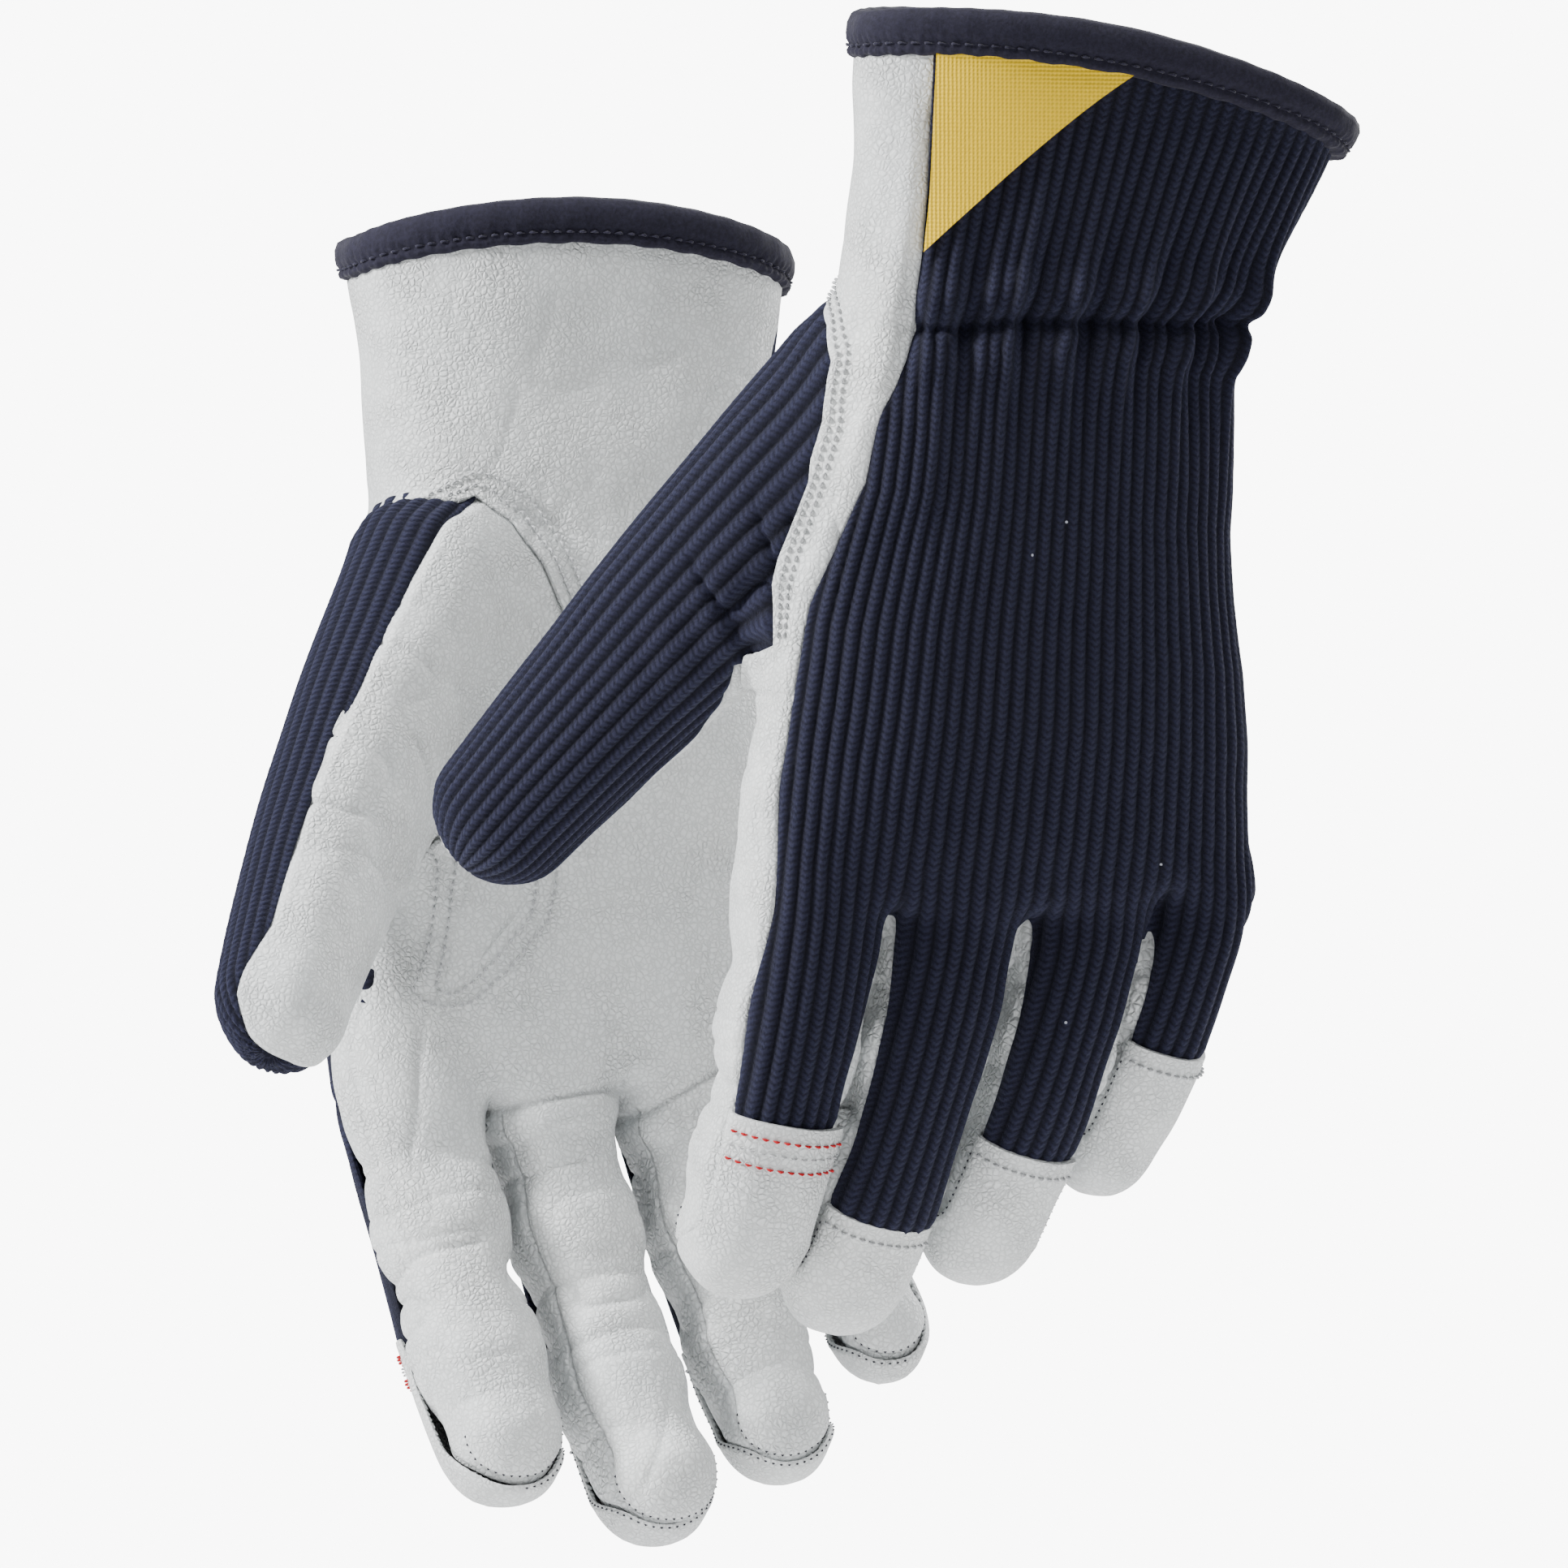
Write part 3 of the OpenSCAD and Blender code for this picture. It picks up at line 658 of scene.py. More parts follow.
# Outlines of the thumb's opening in the hand, right and left glove. Degrees round the hand from the
# little finger's side, with 90 at the back and 270 at the palm, and heights
THUMB_OPENINGS = (
    ((237, -48.5), (247, -53), (255, -61), (261, -71), (263, -85), (257, -98), (248, -108), (237, -114),
     (205, -114), (175, -111), (168, -100), (163, -85), (166, -74), (184, -67), (204, -65), (218, -61),
     (228, -53)),
    ((237, -46.5), (247, -52), (255, -61), (261, -71), (263, -85), (257, -98), (248, -108), (237, -114),
     (205, -114), (172, -110), (174, -99), (167, -84), (161, -69), (164, -58), (178, -51.5), (196, -48),
     (215, -45.5)))
# The V lap below the thumb's crotch, in the same terms
GUSSET = ((239, -106), (236, -122), (233, -141), (240, -136), (249, -127), (252, -112))
MM_PER_DEGREE = 0.55
# Height of the elastic's gather at the middle of the back, and its rise to the little finger side
GATHER_Z, GATHER_SLANT = -46.3, 5.0
LABEL_DROP, LABEL_RIBS = 29.0, 11.8


def rib_count(across):
    """Ribs from the middle of the back to a place across it, closer together at the sides."""
    curved = (2 / math.pi) * np.arcsin(np.clip(across, -0.999, 0.999))
    return KNUCKLE_HALF_WIDTH / RIB_PITCH * (0.72 * across + 0.28 * curved)


def survey(glove, verts, tris):
    """A patch of the whole skin, with everything that the panels need to know about each vertex."""
    g = glove.index
    patch = Patch(np.zeros((len(verts), COLUMNS)), tris)
    patch["rest"] = verts
    patch["lean"] = normals_of(verts, tris)
    _, hand, fingers, thumb = glove.distance(verts)
    fingers = np.stack(fingers, 1)
    nearest = np.argmin(fingers, axis=1)
    for f, finger in enumerate(FINGERS):
        patch["in_" + finger] = np.delete(fingers, f, axis=1).min(1) - fingers[:, f]
    width, depth, along, half_width = (np.zeros(len(verts)) for _ in range(4))
    for f, stall in enumerate(glove.fingers):
        mine = nearest == f
        place = stall.place(verts[mine])
        width[mine], depth[mine], along[mine] = place.T
        half_width[mine] = stall.sizes(place[:, 2])[0]
    z = verts[:, 2]
    across = (verts[:, 0] - glove.centre(z)) / glove.half_width(z)
    # The knit's edge on the hand: behind the thumb side, in front of the little finger side
    thumb_edge = np.interp(z, [-165, -155, -125, -102, -79, -61, -36, 0],
                           [10, 9.5, 8, 8.5, 13, 13.8, 13, 11.6])
    if g == 0:
        thumb_edge = mix(thumb_edge, 2.0, smoothstep(z, -118, -150))
    hand_edge = mix(thumb_edge, -7.0, smoothstep(across, -0.9, 0.9))
    web = smoothstep(z, -140, -156)
    thumb_web = np.where(across < -0.75, thumb_edge, 4.5)
    hand_edge = mix(hand_edge, np.where(across > 0.8, -6.0, thumb_web), web)
    length = (np.array(FINGER_LENGTH) * FINGER_STRETCH[g])[nearest]
    tip = smoothstep(along, length - 17, length - 4)
    side = np.clip(width / np.maximum(half_width, 1), -1, 1)
    radial = np.where(nearest == 0, (2.0, 7.5)[g], 7.2)
    ulnar = np.where(nearest == 3, -4.0, 7.2)
    finger_edge = mix(mix(radial, ulnar, smoothstep(side, -0.4, 0.4)), -2.5, tip)
    down = smoothstep(along, -FINGER_CUT - 2, 14)
    height = mix(verts[:, 1], depth, smoothstep(along, -12, 0))
    patch["knit"] = height - mix(hand_edge, finger_edge, down)
    patch["in_finger"] = along + FINGER_CUT
    patch["in_cap"] = along - (length - np.array(CAP_LENGTH)[nearest])
    patch["front_edge"] = mix(-6.8, -3.0, tip) - depth
    patch["width"], patch["depth"], patch["along"] = width, depth, along
    # The seams of the thumb's opening and of the V lap, on the hand unrolled
    degrees = np.degrees(np.arctan2(verts[:, 1] / glove.half_depth(z), across)) % 360
    unrolled = np.stack([degrees * MM_PER_DEGREE, z], 1)
    scale = np.array([MM_PER_DEGREE, 1.0])
    opening = inside_outline(unrolled, np.array(THUMB_OPENINGS[g]) * scale)
    patch["opening"] = opening
    patch["in_thumb"] = np.minimum(np.minimum(hand, 20) - thumb + 9, np.maximum(opening, hand - 3.5))
    patch["gusset"] = inside_outline(unrolled, np.array(GUSSET) * scale)
    place = glove.thumb.place(verts)
    radial = np.interp(place[:, 2], [0, 36, 60, 92, 106, 114], [-7, -4.6, -2.6, -1.3, 4, 3])
    ulnar = np.interp(place[:, 2], [30, 40, 48, 56, 64, 82, 112], [6, 7, 8, 1, -3.5, -6, -2])
    side = place[:, 0] / glove.thumb.sizes(place[:, 2])[0]
    patch["thumb_knit"] = place[:, 1] - mix(radial, ulnar, smoothstep(side, -0.4, 0.4))
    patch["thumb_width"], patch["thumb_depth"], patch["thumb_along"] = place.T
    # Under the tape, and in the label's triangle
    top = glove.rim(verts) * np.maximum(0, 1 + z / RIM_FADE)
    patch["under_rim"] = top - 0.8 - z
    roots = np.array([(stall.origin[0] - glove.centre(stall.origin[2])) / glove.half_width(stall.origin[2])
                      for stall in glove.fingers])
    finger_ribs = rib_count(roots)[nearest] + width / RIB_PITCH
    ribs = mix(rib_count(across), finger_ribs, smoothstep(along, -14, 4))
    patch["uv"] = np.stack([ribs, -z], 1)
    patch["across"] = across
    drop = top - TAPE_WIDTH - z
    patch["drop"] = drop
    patch["long_edge"] = 21.5 * (1 - (ribs + LABEL_RIBS) / LABEL_RIBS - drop / (LABEL_DROP + 1.5))
    return patch


def folds(points, size, seed, sharpness=2.4):
    """Creases with soft shoulders."""
    return creases(points, size, seed, sharpness) + 0.35 * noise(points, size * 0.9, seed + 1)


def seam_dip(distance, width, deep):
    """A panel's edge turned down into its seam, with a soft welt beside it."""
    d = np.abs(distance)
    return -deep * (1 - np.sqrt(np.clip(d / width, 0, 1))) + 0.3 * deep * np.exp(-((d - width) / 1.1) ** 2)


def leather_relief(patch, lengths):
    """Creases, folds and soft unevenness of the leather, in millimetres."""
    points = patch["rest"]
    z = points[:, 2]
    depth = 0.8 * noise(points, 23, 3) + 0.35 * noise(points, 10, 5)
    slanted = points @ np.array([[1.0, 0, 0.3], [0, 1.0, 0], [-0.35, 0, 0.6]])
    depth += 0.75 * folds(slanted, 14, 7, 3.2) * smoothstep(noise(points, 33, 8), -0.35, 0.4)
    depth += 0.16 * creases(slanted, 4.6, 9, 2.6) * smoothstep(noise(points, 24, 10), -0.2, 0.5)
    # Cross folds and pads where the fingers bend
    share = patch["along"] / lengths
    on_finger = smoothstep(patch["along"], -FINGER_CUT - 14, 6)
    finger = np.argmax(np.stack([patch["in_" + name] for name in FINGERS], 1), axis=1)
    stretched = np.stack([patch["width"] / 3.0, patch["depth"] / 3.0, patch["along"]], 1)
    stretched = stretched + finger[:, None] * 31.0
    for spot, spread, size in ((0.1, 0.11, 1.0), (0.43, 0.15, 1.5), (0.74, 0.09, 0.6)):
        weight = np.exp(-((share - spot) / spread) ** 2) * on_finger
        depth += size * weight * folds(stretched, 6.0, 11, 2.0)
    depth += 0.7 * on_finger * np.cos(2 * math.pi * (share - 0.25) / 0.36) * smoothstep(share, 0.95, 0.8)
    # Folds that spread from the thumb's crotch over the palm
    crotch = np.array([-30.0, -18.0, -112.0])
    away = points - crotch
    reach = np.hypot(away[:, 0], away[:, 2])
    angle = np.arctan2(away[:, 2], away[:, 0])
    rays = np.stack([angle * 9, reach * 0.12, np.zeros(len(points))], 1)
    depth += 0.9 * folds(rays, 3.0, 21, 2.4) * smoothstep(reach, 46, 20) * smoothstep(reach, 4, 12)
    # Seams: against the knit, at the foot of the middle and ring fingers, round the thumb
    beside_cap = smoothstep(patch["in_cap"], -1, 1)
    depth += seam_dip(np.minimum(patch["knit"], 0), 1.7, 0.9) * mix(1.0, 0.45, beside_cap)
    on_front = smoothstep(patch["along"], 2, 10)
    depth += on_front * seam_dip(patch["front_edge"], 1.2, 0.55)
    based = (np.abs(finger - 1.5) < 0.6) & (patch["knit"] < -2)
    foot = patch["along"] + FINGER_CUT + 1.0 + (finger - 1) * 0.28 * (patch["width"] + 2)
    depth += based * (-1.1 * np.exp(-(foot / 0.9) ** 2) + 0.9 * np.exp(-((foot - 4.0) / 3.0) ** 2))
    depth += 0.35 * smoothstep(patch["opening"], -3.0, -0.6)
    # Under the knit and under the caps the leather runs on, out of sight
    depth -= smoothstep(patch["knit"], -0.05, 0.3) * mix(1.6, 0.15, beside_cap)
    return depth * mix(0.15, 1.0, smoothstep(z, -5, -14))


def gather(patch):
    """Pleats of the knit where the elastic draws the wrist in, in millimetres."""
    points = patch["rest"]
    across = patch["across"]
    z = points[:, 2] + 1.2 * noise(points, 16, 40) - GATHER_Z - GATHER_SLANT * across
    pleats = np.cos(across * 21 + 1.9 * noise(points * [1, 1, 0.25], 15, 41))
    short = np.cos(across * 43 + 2.0 * noise(points * [1, 1, 0.4], 11, 42))
    near = np.exp(-np.abs(z) / 11.0)
    line = -2.3 * np.exp(-(z / 1.5) ** 2) * (0.8 + 0.2 * pleats)
    puff = 1.7 * np.exp(-((z - 5.5) / 4.0) ** 2) + 1.3 * np.exp(-((z + 6.0) / 4.5) ** 2)
    return near * (2.2 * pleats + 1.1 * short) + line + puff - 1.2 * np.exp(-(z / 9.0) ** 2)


def ribbed(ribs):
    return 0.9 * (np.abs(np.sin(math.pi * ribs)) ** 0.8 - 0.6)


def knit_relief(patch):
    """Rounded ribs with narrow valleys, soft folds and the wrist's gathers."""
    points = patch["rest"]
    seam = np.sqrt(np.clip(patch["knit"] / 2.0, 0, 1))
    under_cap = smoothstep(patch["in_cap"], -2.5, -0.2)
    depth = ribbed(patch["uv"][:, 0]) * mix(0.5, 1.0, seam) * (1 - 0.6 * under_cap)
    depth += 0.7 * noise(points, 24, 51) + 0.3 * noise(points, 9, 52) + gather(patch)
    depth += -0.7 * (1 - seam) - 0.35 * under_cap
    return depth * mix(0.15, 1.0, smoothstep(points[:, 2], -5, -13))


def thumb_folds(patch):
    """Deep folds of the thumb's knit, beside its crotch."""
    along, width = patch["thumb_along"], patch["thumb_width"]
    slanted = np.stack([width / 3 + along * 0.2, np.zeros(len(along)), along - 0.55 * width], 1)
    weight = np.exp(-((along - 37) / 15) ** 2) * smoothstep(width, -6, 14)
    return 3.6 * weight * folds(slanted, 7.0, 61, 1.8)


# ---- stitches, tape and elastic

def stitches(glove, name, paths, mat, step=1.75, radius=0.34, gap=0.26, sunk=-0.08):
    """Rows of short curved stitches. Each path is a list of table rows: raised points and normals."""
    verts, tris, base, ring = [], [], 0, 6
    # Height and thickness of a stitch from end to end
    turns = np.arange(ring) * 2 * math.pi / ring
    arch = np.array([-0.5, 0.1, 0.3, 0.1, -0.5])
    sizes = radius * np.array([0.5, 0.95, 1.0, 0.95, 0.5])
    last = len(arch) - 1
    for points, outs in paths:
        lengths = np.concatenate([[0], np.cumsum(np.linalg.norm(np.diff(points, axis=0), axis=1))])
        count = int(lengths[-1] / step)
        for i in range(count):
            stations = np.linspace(i + gap / 2, i + 1 - gap / 2, len(arch)) * lengths[-1] / count
            centre = np.stack([np.interp(stations, lengths, points[:, k]) for k in range(3)], 1)
            out = np.stack([np.interp(stations, lengths, outs[:, k]) for k in range(3)], 1)
            out /= np.linalg.norm(out, axis=1)[:, None]
            centre = centre + out * (arch - sunk + radius * 0.5)[:, None]
            ahead = np.gradient(centre, axis=0)
            ahead /= np.maximum(np.linalg.norm(ahead, axis=1), 1e-6)[:, None]
            side = np.cross(out, ahead)
            up = np.cross(ahead, side)
            rings = centre[:, None] + sizes[:, None, None] * (
                np.cos(turns)[None, :, None] * side[:, None] + np.sin(turns)[None, :, None] * up[:, None])
            verts.append(rings.reshape(-1, 3))
            for r in range(last):
                for k in range(ring):
                    a, b = base + r * ring + k, base + r * ring + (k + 1) % ring
                    tris += [(a, b, b + ring), (a, b + ring, a + ring)]
            for r, order in ((0, -1), (last, 1)):
                fan = [base + r * ring + k for k in range(ring)][::order]
                tris += [(fan[0], fan[k], fan[k + 1]) for k in range(1, ring - 1)]
            base += len(arch) * ring
    if not verts:
        return None
    return new_object(name, glove, np.concatenate(verts), np.array(tris), mat)


def seam_paths(patch, field, keep, smooth=6):
    """Lines on a raised patch where field is 0, within keep, as points and outward directions."""
    found = []
    first, last = SPANS["raised"][0], SPANS["normal"][1]
    for rows in line_paths(patch.table, patch.tris, field(patch)):
        for _ in range(smooth):
            rows[1:-1, first:last] = (rows[:-2, first:last] + 2 * rows[1:-1, first:last]
                                      + rows[2:, first:last]) / 4
        inside = keep(Patch(rows, None)) > 0
        for run in np.split(np.arange(len(rows)), np.where(np.diff(inside.astype(int)) != 0)[0] + 1):
            if inside[run[0]] and len(run) > 4:
                path = Patch(rows[run], None)
                found.append((path["raised"], path["normal"]))
    return found


def tube_along(glove, name, sections, mat, closed=True):
    """A skin over a list of equal sections, each a list of points."""
    sections = np.array(sections)
    count, corners = sections.shape[:2]
    tris = []
    for i in range(count if closed else count - 1):
        for j in range(corners):
            a, b = i * corners + j, i * corners + (j + 1) % corners
            c, d = ((i + 1) % count) * corners + j, ((i + 1) % count) * corners + (j + 1) % corners
            tris += [(a, b, d), (a, d, c)]
    return new_object(name, glove, sections.reshape(-1, 3), np.array(tris), mat)


def cuff_ring(glove, z, angles, inset):
    """Points of the cuff's wall at depth z under its rim."""
    cos, sin = np.cos(angles), np.sin(angles)
    power = 2 / RING_POWER
    x = glove.centre(z) + (glove.half_width(z) - inset) * np.sign(cos) * np.abs(cos) ** power
    y = (glove.half_depth(z) - inset) * np.sign(sin) * np.abs(sin) ** power
    points = np.stack([x, y, np.full_like(x, z)], 1)
    points[:, 2] += glove.rim(points) * max(0.0, 1 + z / RIM_FADE)
    return points


def outward_from(ring):
    outward = ring - ring.mean(0)
    outward[:, 2] = 0
    return outward / np.linalg.norm(outward, axis=1)[:, None]


def binding(glove):
    """Jersey tape folded over the rim, with a stitched groove near its lower edge."""
    angles = np.linspace(0, 2 * math.pi, 360, endpoint=False)
    edge = -TAPE_WIDTH
    profile = [(-0.5, edge), (-1.3, edge + 0.3), (-1.5, edge + 0.9), (-1.1, edge + 1.6),
               (-1.1, edge + 1.9), (-1.7, edge + 2.7), (-1.95, -3.0), (-1.85, -1.2), (-1.2, 0.3),
               (0.1, 1.1), (1.3, 1.0), (2.4, 0.2), (2.8, -1.4), (2.7, -3.6), (2.5, edge + 0.3), (1.9, edge)]
    sections = []
    for inset, z in profile:
        ring = cuff_ring(glove, min(z, 0.0), angles, inset)
        ring[:, 2] += max(z, 0.0)
        low = z < -3 and inset < 0
        ring[:, 2] += (0.16 if low else 0.05) * np.sin(angles * 37 + np.cos(angles * 5))
        pucker = 0.14 * np.cos(angles * 96) if low else 0.07 * np.cos(angles * 31)
        sections.append(ring + outward_from(ring) * pucker[:, None])
    sections = np.transpose(np.array(sections), (1, 0, 2))
    tape = tube_along(glove, f"{glove.side}_cuff_binding.tape", sections, TAPE)
    groove = cuff_ring(glove, edge + 1.75, angles, -1.15)
    outward = outward_from(groove)
    loop = (np.concatenate([groove, groove[:1]]), np.concatenate([outward, outward[:1]]))
    row = stitches(glove, f"{glove.side}_cuff_binding.stitching", [loop], TAPE_THREAD, 2.4, 0.28)
    return [tape, row]


def elastic(glove):
    """A flat band sewn inside the knit at the wrist, puckered along its length."""
    angles = np.radians(np.linspace(-15, 145, 120))
    middle = GATHER_Z - 2.5
    sections = [cuff_ring(glove, z, angles, inset) for inset, z in (
        (7.4, middle + 4), (8.2, middle + 4), (8.2, middle - 4), (7.4, middle - 4))]
    sections = np.transpose(np.array(sections), (1, 0, 2))
    sections[:, :, 1] += 0.25 * np.cos(np.arange(len(angles)) * 1.3)[:, None]
    return tube_along(glove, f"{glove.side}_wrist_elastic.band", sections, ELASTIC, closed=False)


# ---- building

# A panel runs on under its neighbour by this much
LAP = 1.3
# Fine stitches that lie deep in a fingertip's seam
SUNK_ROW = {"step": 1.5, "radius": 0.2, "gap": 0.35, "sunk": 0.25}


def field(name, sign=1.0, offset=0.0):
    """A cutting rule for Patch.where: a column of the table, turned round or shifted."""
    return lambda patch: sign * patch[name] + offset


def attach(obj, nodes, body, blend=None):
    """Ties a finished piece to its body; a piece given blend is left unparented, its transform baked into
    its mesh.
    """
    if obj is None:
        return
    if blend:
        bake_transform(obj)
    else:
        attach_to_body(obj, body)
    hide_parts(*nodes)


def build_label(glove, knit, hand_body):
    """The plain woven triangle sewn in beside the seam."""
    cloth = knit.where(field("knit", 1.0, -0.2), field("drop"), field("long_edge")).copy()
    cloth.raise_by(1.0 + 0.25 * noise(cloth["rest"], 14, 71))
    name = f"{glove.side}_label"
    attach(panel(glove, f"{name}.cloth", cloth, YELLOW, 0.7), [name], hand_body)


def build_thumb(glove, thumb, hand_body, thumb_body):
    bend = [glove.to_row(glove.thumb.at(0.0, 0.0, THUMB_HINGE * THUMB_LENGTH + extra)[None])[0]
            for extra in (-2.0, 30.0)]
    front = thumb.where(field("thumb_knit", -1.0, LAP))
    back = thumb.where(field("thumb_knit"))
    place = np.stack([front["thumb_width"] / 2.5, front["rest"][:, 1] / 2.5, front["thumb_along"]], 1)
    share = front["thumb_along"] / THUMB_LENGTH
    relief = 0.5 * noise(front["rest"], 19, 13) + 0.25 * noise(front["rest"], 8, 14)
    for spot, spread, size in ((0.28, 0.14, 0.9), (0.56, 0.12, 1.1)):
        relief += size * np.exp(-((share - spot) / spread) ** 2) * folds(place, 7.5, 17, 2.2)
    relief += seam_dip(np.minimum(front["thumb_knit"], 0), 1.6, 0.8)
    relief += seam_dip(np.maximum(front["in_thumb"], 0), 1.6, 1.0)
    front.raise_by(relief)
    sizes = glove.thumb.sizes(back["thumb_along"])
    round_angle = np.arctan2(back["thumb_depth"] / sizes[1], -back["thumb_width"] / sizes[0])
    back["uv"] = np.stack([round_angle * 14.5 / RIB_PITCH, back["thumb_along"]], 1)
    seam = np.sqrt(np.clip(np.minimum(back["thumb_knit"], back["in_thumb"]) / 1.8, 0, 1))
    relief = ribbed(back["uv"][:, 0]) * mix(0.5, 1, seam) + 0.6 * noise(back["rest"], 20, 19)
    back.raise_by(relief + thumb_folds(back) - 0.8 * (1 - seam) + 0.1)
    for patch, part, mat, finish in ((front, "front", LEATHER, "leather"), (back, "back", KNIT, "knit")):
        nodes = [f"{glove.side}_thumb_{part}", f"{glove.side}_thumb_root_{part}"]
        obj = panel(glove, f"{nodes[0]}.{finish}", patch, mat, 1.1, part == "back")
        attach(obj, nodes, (hand_body, thumb_body), bend)


def build_finger(glove, f, knit, leather, hand_body):
    finger = FINGERS[f]
    body = f"{glove.side}_{finger}"
    stall = glove.fingers[f]
    # Which way the finger's neighbour lies, on the two outer fingers
    inner = {"index": 1.0, "little": -1.0}.get(finger, 0.0)
    bend = [glove.to_row(stall.at(0.0, 0.0, along)[None])[0] for along in (-FINGER_CUT + 0.01, 17.0)]
    mine = (field("in_finger"), field("in_" + finger))
    knit, leather = knit.where(*mine), leather.where(*mine)
    panels = [("back", knit.where(field("in_cap", -1.0)), KNIT, "knit")]
    cap = knit.where(field("in_cap", 1.0, 0.8)).copy()
    points = cap["rest"]
    cap.raise_by(0.65 + 0.4 * noise(points, 15, 31) + 0.18 * noise(points, 6, 33)
                 + seam_dip(cap["knit"], 1.3, 0.6))
    panels.append(("cap", cap, LEATHER, "leather"))
    sides = leather.where(field("front_edge", -1.0, 0.4))
    if finger != "little":
        name = "fourchette" if finger == "index" else "fourchette_ulnar"
        panels.append((name, sides.where(field("width")), GRAINY, "leather"))
    if finger != "index":
        name = "fourchette" if finger == "little" else "fourchette_radial"
        panels.append((name, sides.where(field("width", -1.0)), GRAINY, "leather"))

    def front_field(patch):
        """In front of the side seams, and all of an outer finger's outer side."""
        edge = patch["front_edge"]
        return np.maximum(edge, -inner * patch["width"]) if inner else edge

    front = leather.where(front_field)
    panels.append(("front", front, LEATHER, "leather"))
    for name, patch, mat, finish in panels:
        if len(patch.tris):
            obj = panel(glove, f"{body}_{name}.{finish}", patch, mat, 1.0, finish == "knit")
            attach(obj, [f"{body}_{name}"], (hand_body, body), bend)

    # Rows of thread: across the cap, and along the seams that close the fingertip
    if finger == "index":
        for row, offset, mat, finish in (("upper", 1.8, RED_THREAD, "red_thread"),
                                         ("middle", 4.2, GREY_THREAD, "grey_thread"),
                                         ("lower", 6.6, RED_THREAD, "red_thread")):
            paths = seam_paths(cap, field("in_cap", 1.0, -offset), field("knit", 1.0, -1.2))
            obj = stitches(glove, f"{body}_cap_stitching.{row}", paths, mat, 1.9,
                           0.2 if row == "middle" else 0.3)
            attach(obj, [f"{body}_cap_stitching"], body)
    else:
        paths = seam_paths(cap, field("in_cap", 1.0, -1.9), field("knit", 1.0, -1.2))
        attach(stitches(glove, f"{body}_cap.hem_stitching", paths, GREY_THREAD),
               [f"{body}_cap"], body)
    paths = seam_paths(cap, field("knit", 1.0, -0.5),
                       lambda p: np.minimum(p["in_cap"] - 2.0, inner * p["width"] + 1.0))
    attach(stitches(glove, f"{body}_cap.seam_stitching", paths, DARK_THREAD, **SUNK_ROW),
           [f"{body}_cap"], body)
    length = FINGER_LENGTH[f] * FINGER_STRETCH[glove.index]
    paths = seam_paths(front, field("front_edge", 1.0, -1.0), field("along", 1.0, -(length - 12)))
    attach(stitches(glove, f"{body}_front.seam_stitching", paths, DARK_THREAD, **SUNK_ROW),
           [f"{body}_front"], body)


def build(glove):
    side = glove.side
    hand_body, thumb_body = f"{side}_hand", f"{side}_thumb"
    verts, tris = glove.skin()
    verts, tris = subdivide(verts, tris)
    verts = relax(verts, tris)
    skin = survey(glove, verts, tris).where(field("under_rim"))
    build_thumb(glove, skin.where(field("in_thumb", 1.0, LAP)), hand_body, thumb_body)
    rest = skin.where(field("in_thumb", -1.0))
    knit = rest.where(field("knit"))
    knit.raise_by(knit_relief(knit))
    leather = rest.where(field("knit", -1.0, LAP))
    finger = np.argmax(np.stack([leather["in_" + name] for name in FINGERS], 1), axis=1)
    lengths = (np.array(FINGER_LENGTH) * FINGER_STRETCH[glove.index])[finger]
    pulled = 0.3 * gather(leather) * smoothstep(leather["knit"], -13, -2)
    leather.raise_by(leather_relief(leather, lengths) + pulled + 0.1)
    for f in range(4):
        build_finger(glove, f, knit, leather, hand_body)

    # Hand
    back = knit.where(field("in_finger", -1.0))
    attach(panel(glove, f"{side}_back.knit", back, KNIT, 1.2, True), [f"{side}_back"], hand_body)
    build_label(glove, back, hand_body)
    hand = leather.where(field("in_finger", -1.0))
    palm = hand.where(field("gusset", -1.0))
    attach(panel(glove, f"{side}_palm.leather", palm, LEATHER, 1.1), [f"{side}_palm"], hand_body)
    lap = hand.where(field("gusset", 1.0, 0.6)).copy()
    lap.raise_by(-0.9 + 0.2 * noise(lap["rest"], 7, 35))
    attach(panel(glove, f"{side}_thumb_gusset.leather", lap, LEATHER, 0.8), [f"{side}_thumb_gusset"],
           hand_body)
    rows = []
    for offset in (1.6, 3.9):
        rows += seam_paths(palm, field("gusset", 1.0, offset), lambda p: -112 - p["rest"][:, 2])
    attach(stitches(glove, f"{side}_thumb_gusset.stitching", rows, GREY_THREAD), [f"{side}_thumb_gusset"],
           hand_body)
    rows = []
    for offset in (1.8, 4.2):
        rows += seam_paths(palm, field("opening", 1.0, offset), lambda p: p["rest"][:, 2] + 109)
    attach(stitches(glove, f"{side}_thumb_seam_stitching.rows", rows, GREY_THREAD),
           [f"{side}_thumb_seam_stitching"], hand_body)

    # Cuff
    for obj in binding(glove):
        attach(obj, [f"{side}_cuff_binding"], hand_body)
    attach(elastic(glove), [f"{side}_wrist_elastic"], hand_body)


# ---- camera, floor and light

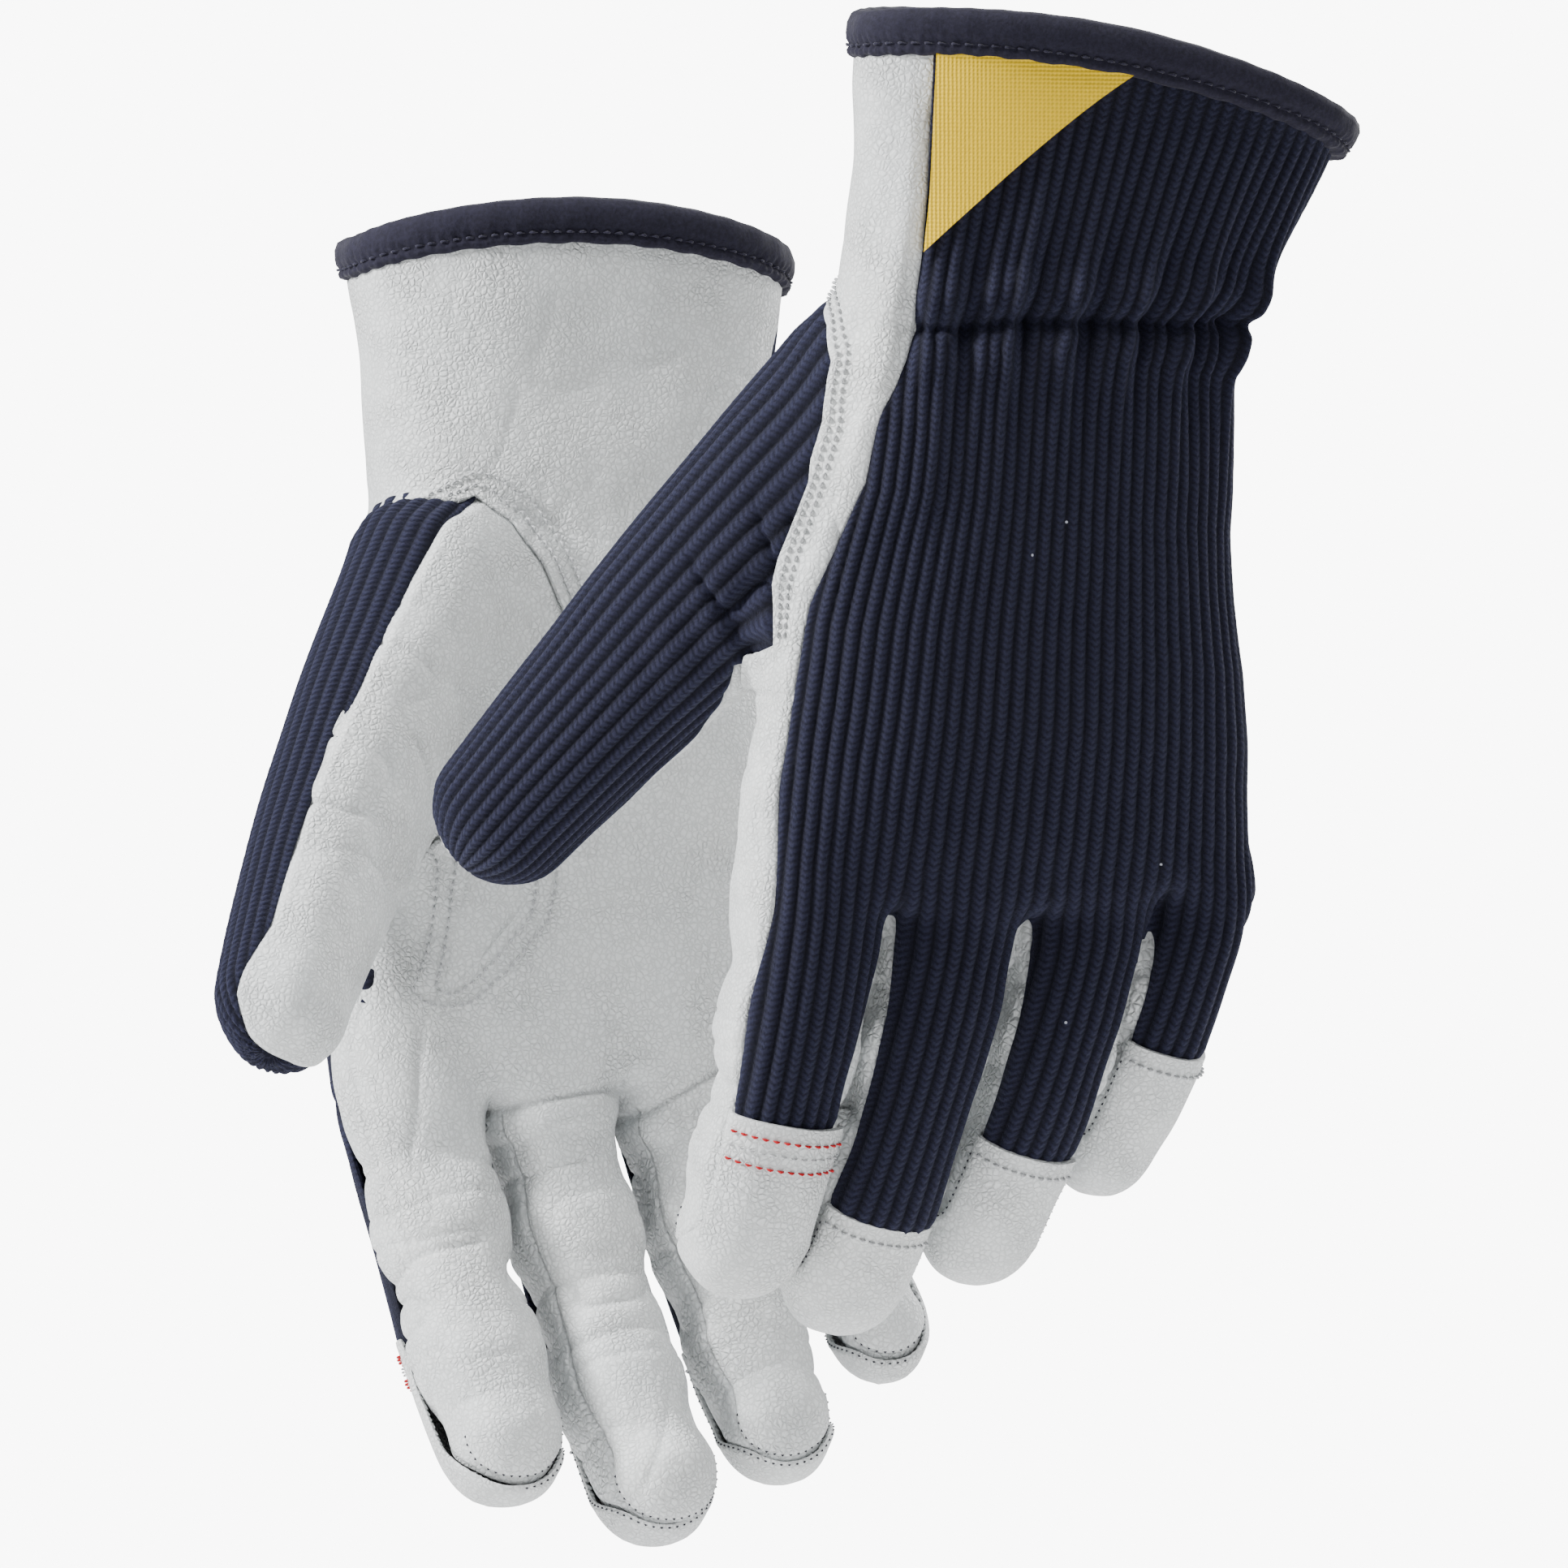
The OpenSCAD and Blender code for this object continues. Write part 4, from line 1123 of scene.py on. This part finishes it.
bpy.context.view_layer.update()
middle = Vector((0.0413, -0.08, -0.1001))
camera_data = bpy.data.cameras.new("camera")
camera = bpy.data.objects.new("camera", camera_data)
bpy.context.scene.collection.objects.link(camera)
CAMERA_AWAY = 4.0
camera.location = middle + Vector((0, -CAMERA_AWAY, 0.0))
camera.rotation_euler = (math.radians(90), 0, 0)
camera_data.sensor_width = 36
camera_data.lens = 36 * CAMERA_AWAY / 0.290
camera_data.clip_end = 50
bpy.context.scene.camera = camera

for glove in (Glove(0, "right"), Glove(1, "left")):
    build(glove)


def stage():
    """Pale floor well below the fingertips, a white surround and soft studio lights."""
    made = bpy.data.materials.new("floor")
    made.use_nodes = True
    shader = made.node_tree.nodes["Principled BSDF"]
    shader.inputs["Base Color"].default_value = (0.86, 0.86, 0.86, 1)
    shader.inputs["Roughness"].default_value = 0.9
    half, height = 3.0, -0.36
    mesh = bpy.data.meshes.new("floor")
    mesh.from_pydata([(-half, -half, height), (half, -half, height), (half, half, height),
                      (-half, half, height)], [], [(0, 1, 2, 3)])
    mesh.materials.append(made)
    floor = bpy.data.objects.new("floor", mesh)
    bpy.context.scene.collection.objects.link(floor)
    world = bpy.data.worlds.new("studio")
    bpy.context.scene.world = world
    world.use_nodes = True
    tree = world.node_tree
    around = tree.nodes["Background"]
    around.inputs["Color"].default_value = (0.93, 0.96, 1, 1)
    around.inputs["Strength"].default_value = 0.22
    seen = add(tree, "ShaderNodeBackground", Color=(1, 1, 1, 1), Strength=9.0)
    path = tree.nodes.new("ShaderNodeLightPath")
    choose = tree.nodes.new("ShaderNodeMixShader")
    tree.links.new(path.outputs["Is Camera Ray"], choose.inputs[0])
    tree.links.new(around.outputs[0], choose.inputs[1])
    tree.links.new(seen.outputs[0], choose.inputs[2])
    tree.links.new(choose.outputs[0], tree.nodes["World Output"].inputs["Surface"])
    for name, place, size, energy in (
            ("key", (-1.35, -0.6, 0.75), 0.35, 70), ("fill", (1.2, -1.6, -0.1), 0.9, 9),
            ("top", (0.1, -0.25, 1.4), 0.5, 27), ("rim", (1.1, 0.9, 0.4), 0.7, 24)):
        data = bpy.data.lights.new(name, "AREA")
        data.size = size
        data.energy = energy
        light = bpy.data.objects.new(name, data)
        light.location = place
        light.rotation_euler = (middle - Vector(place)).to_track_quat("-Z", "Y").to_euler()
        bpy.context.scene.collection.objects.link(light)


stage()
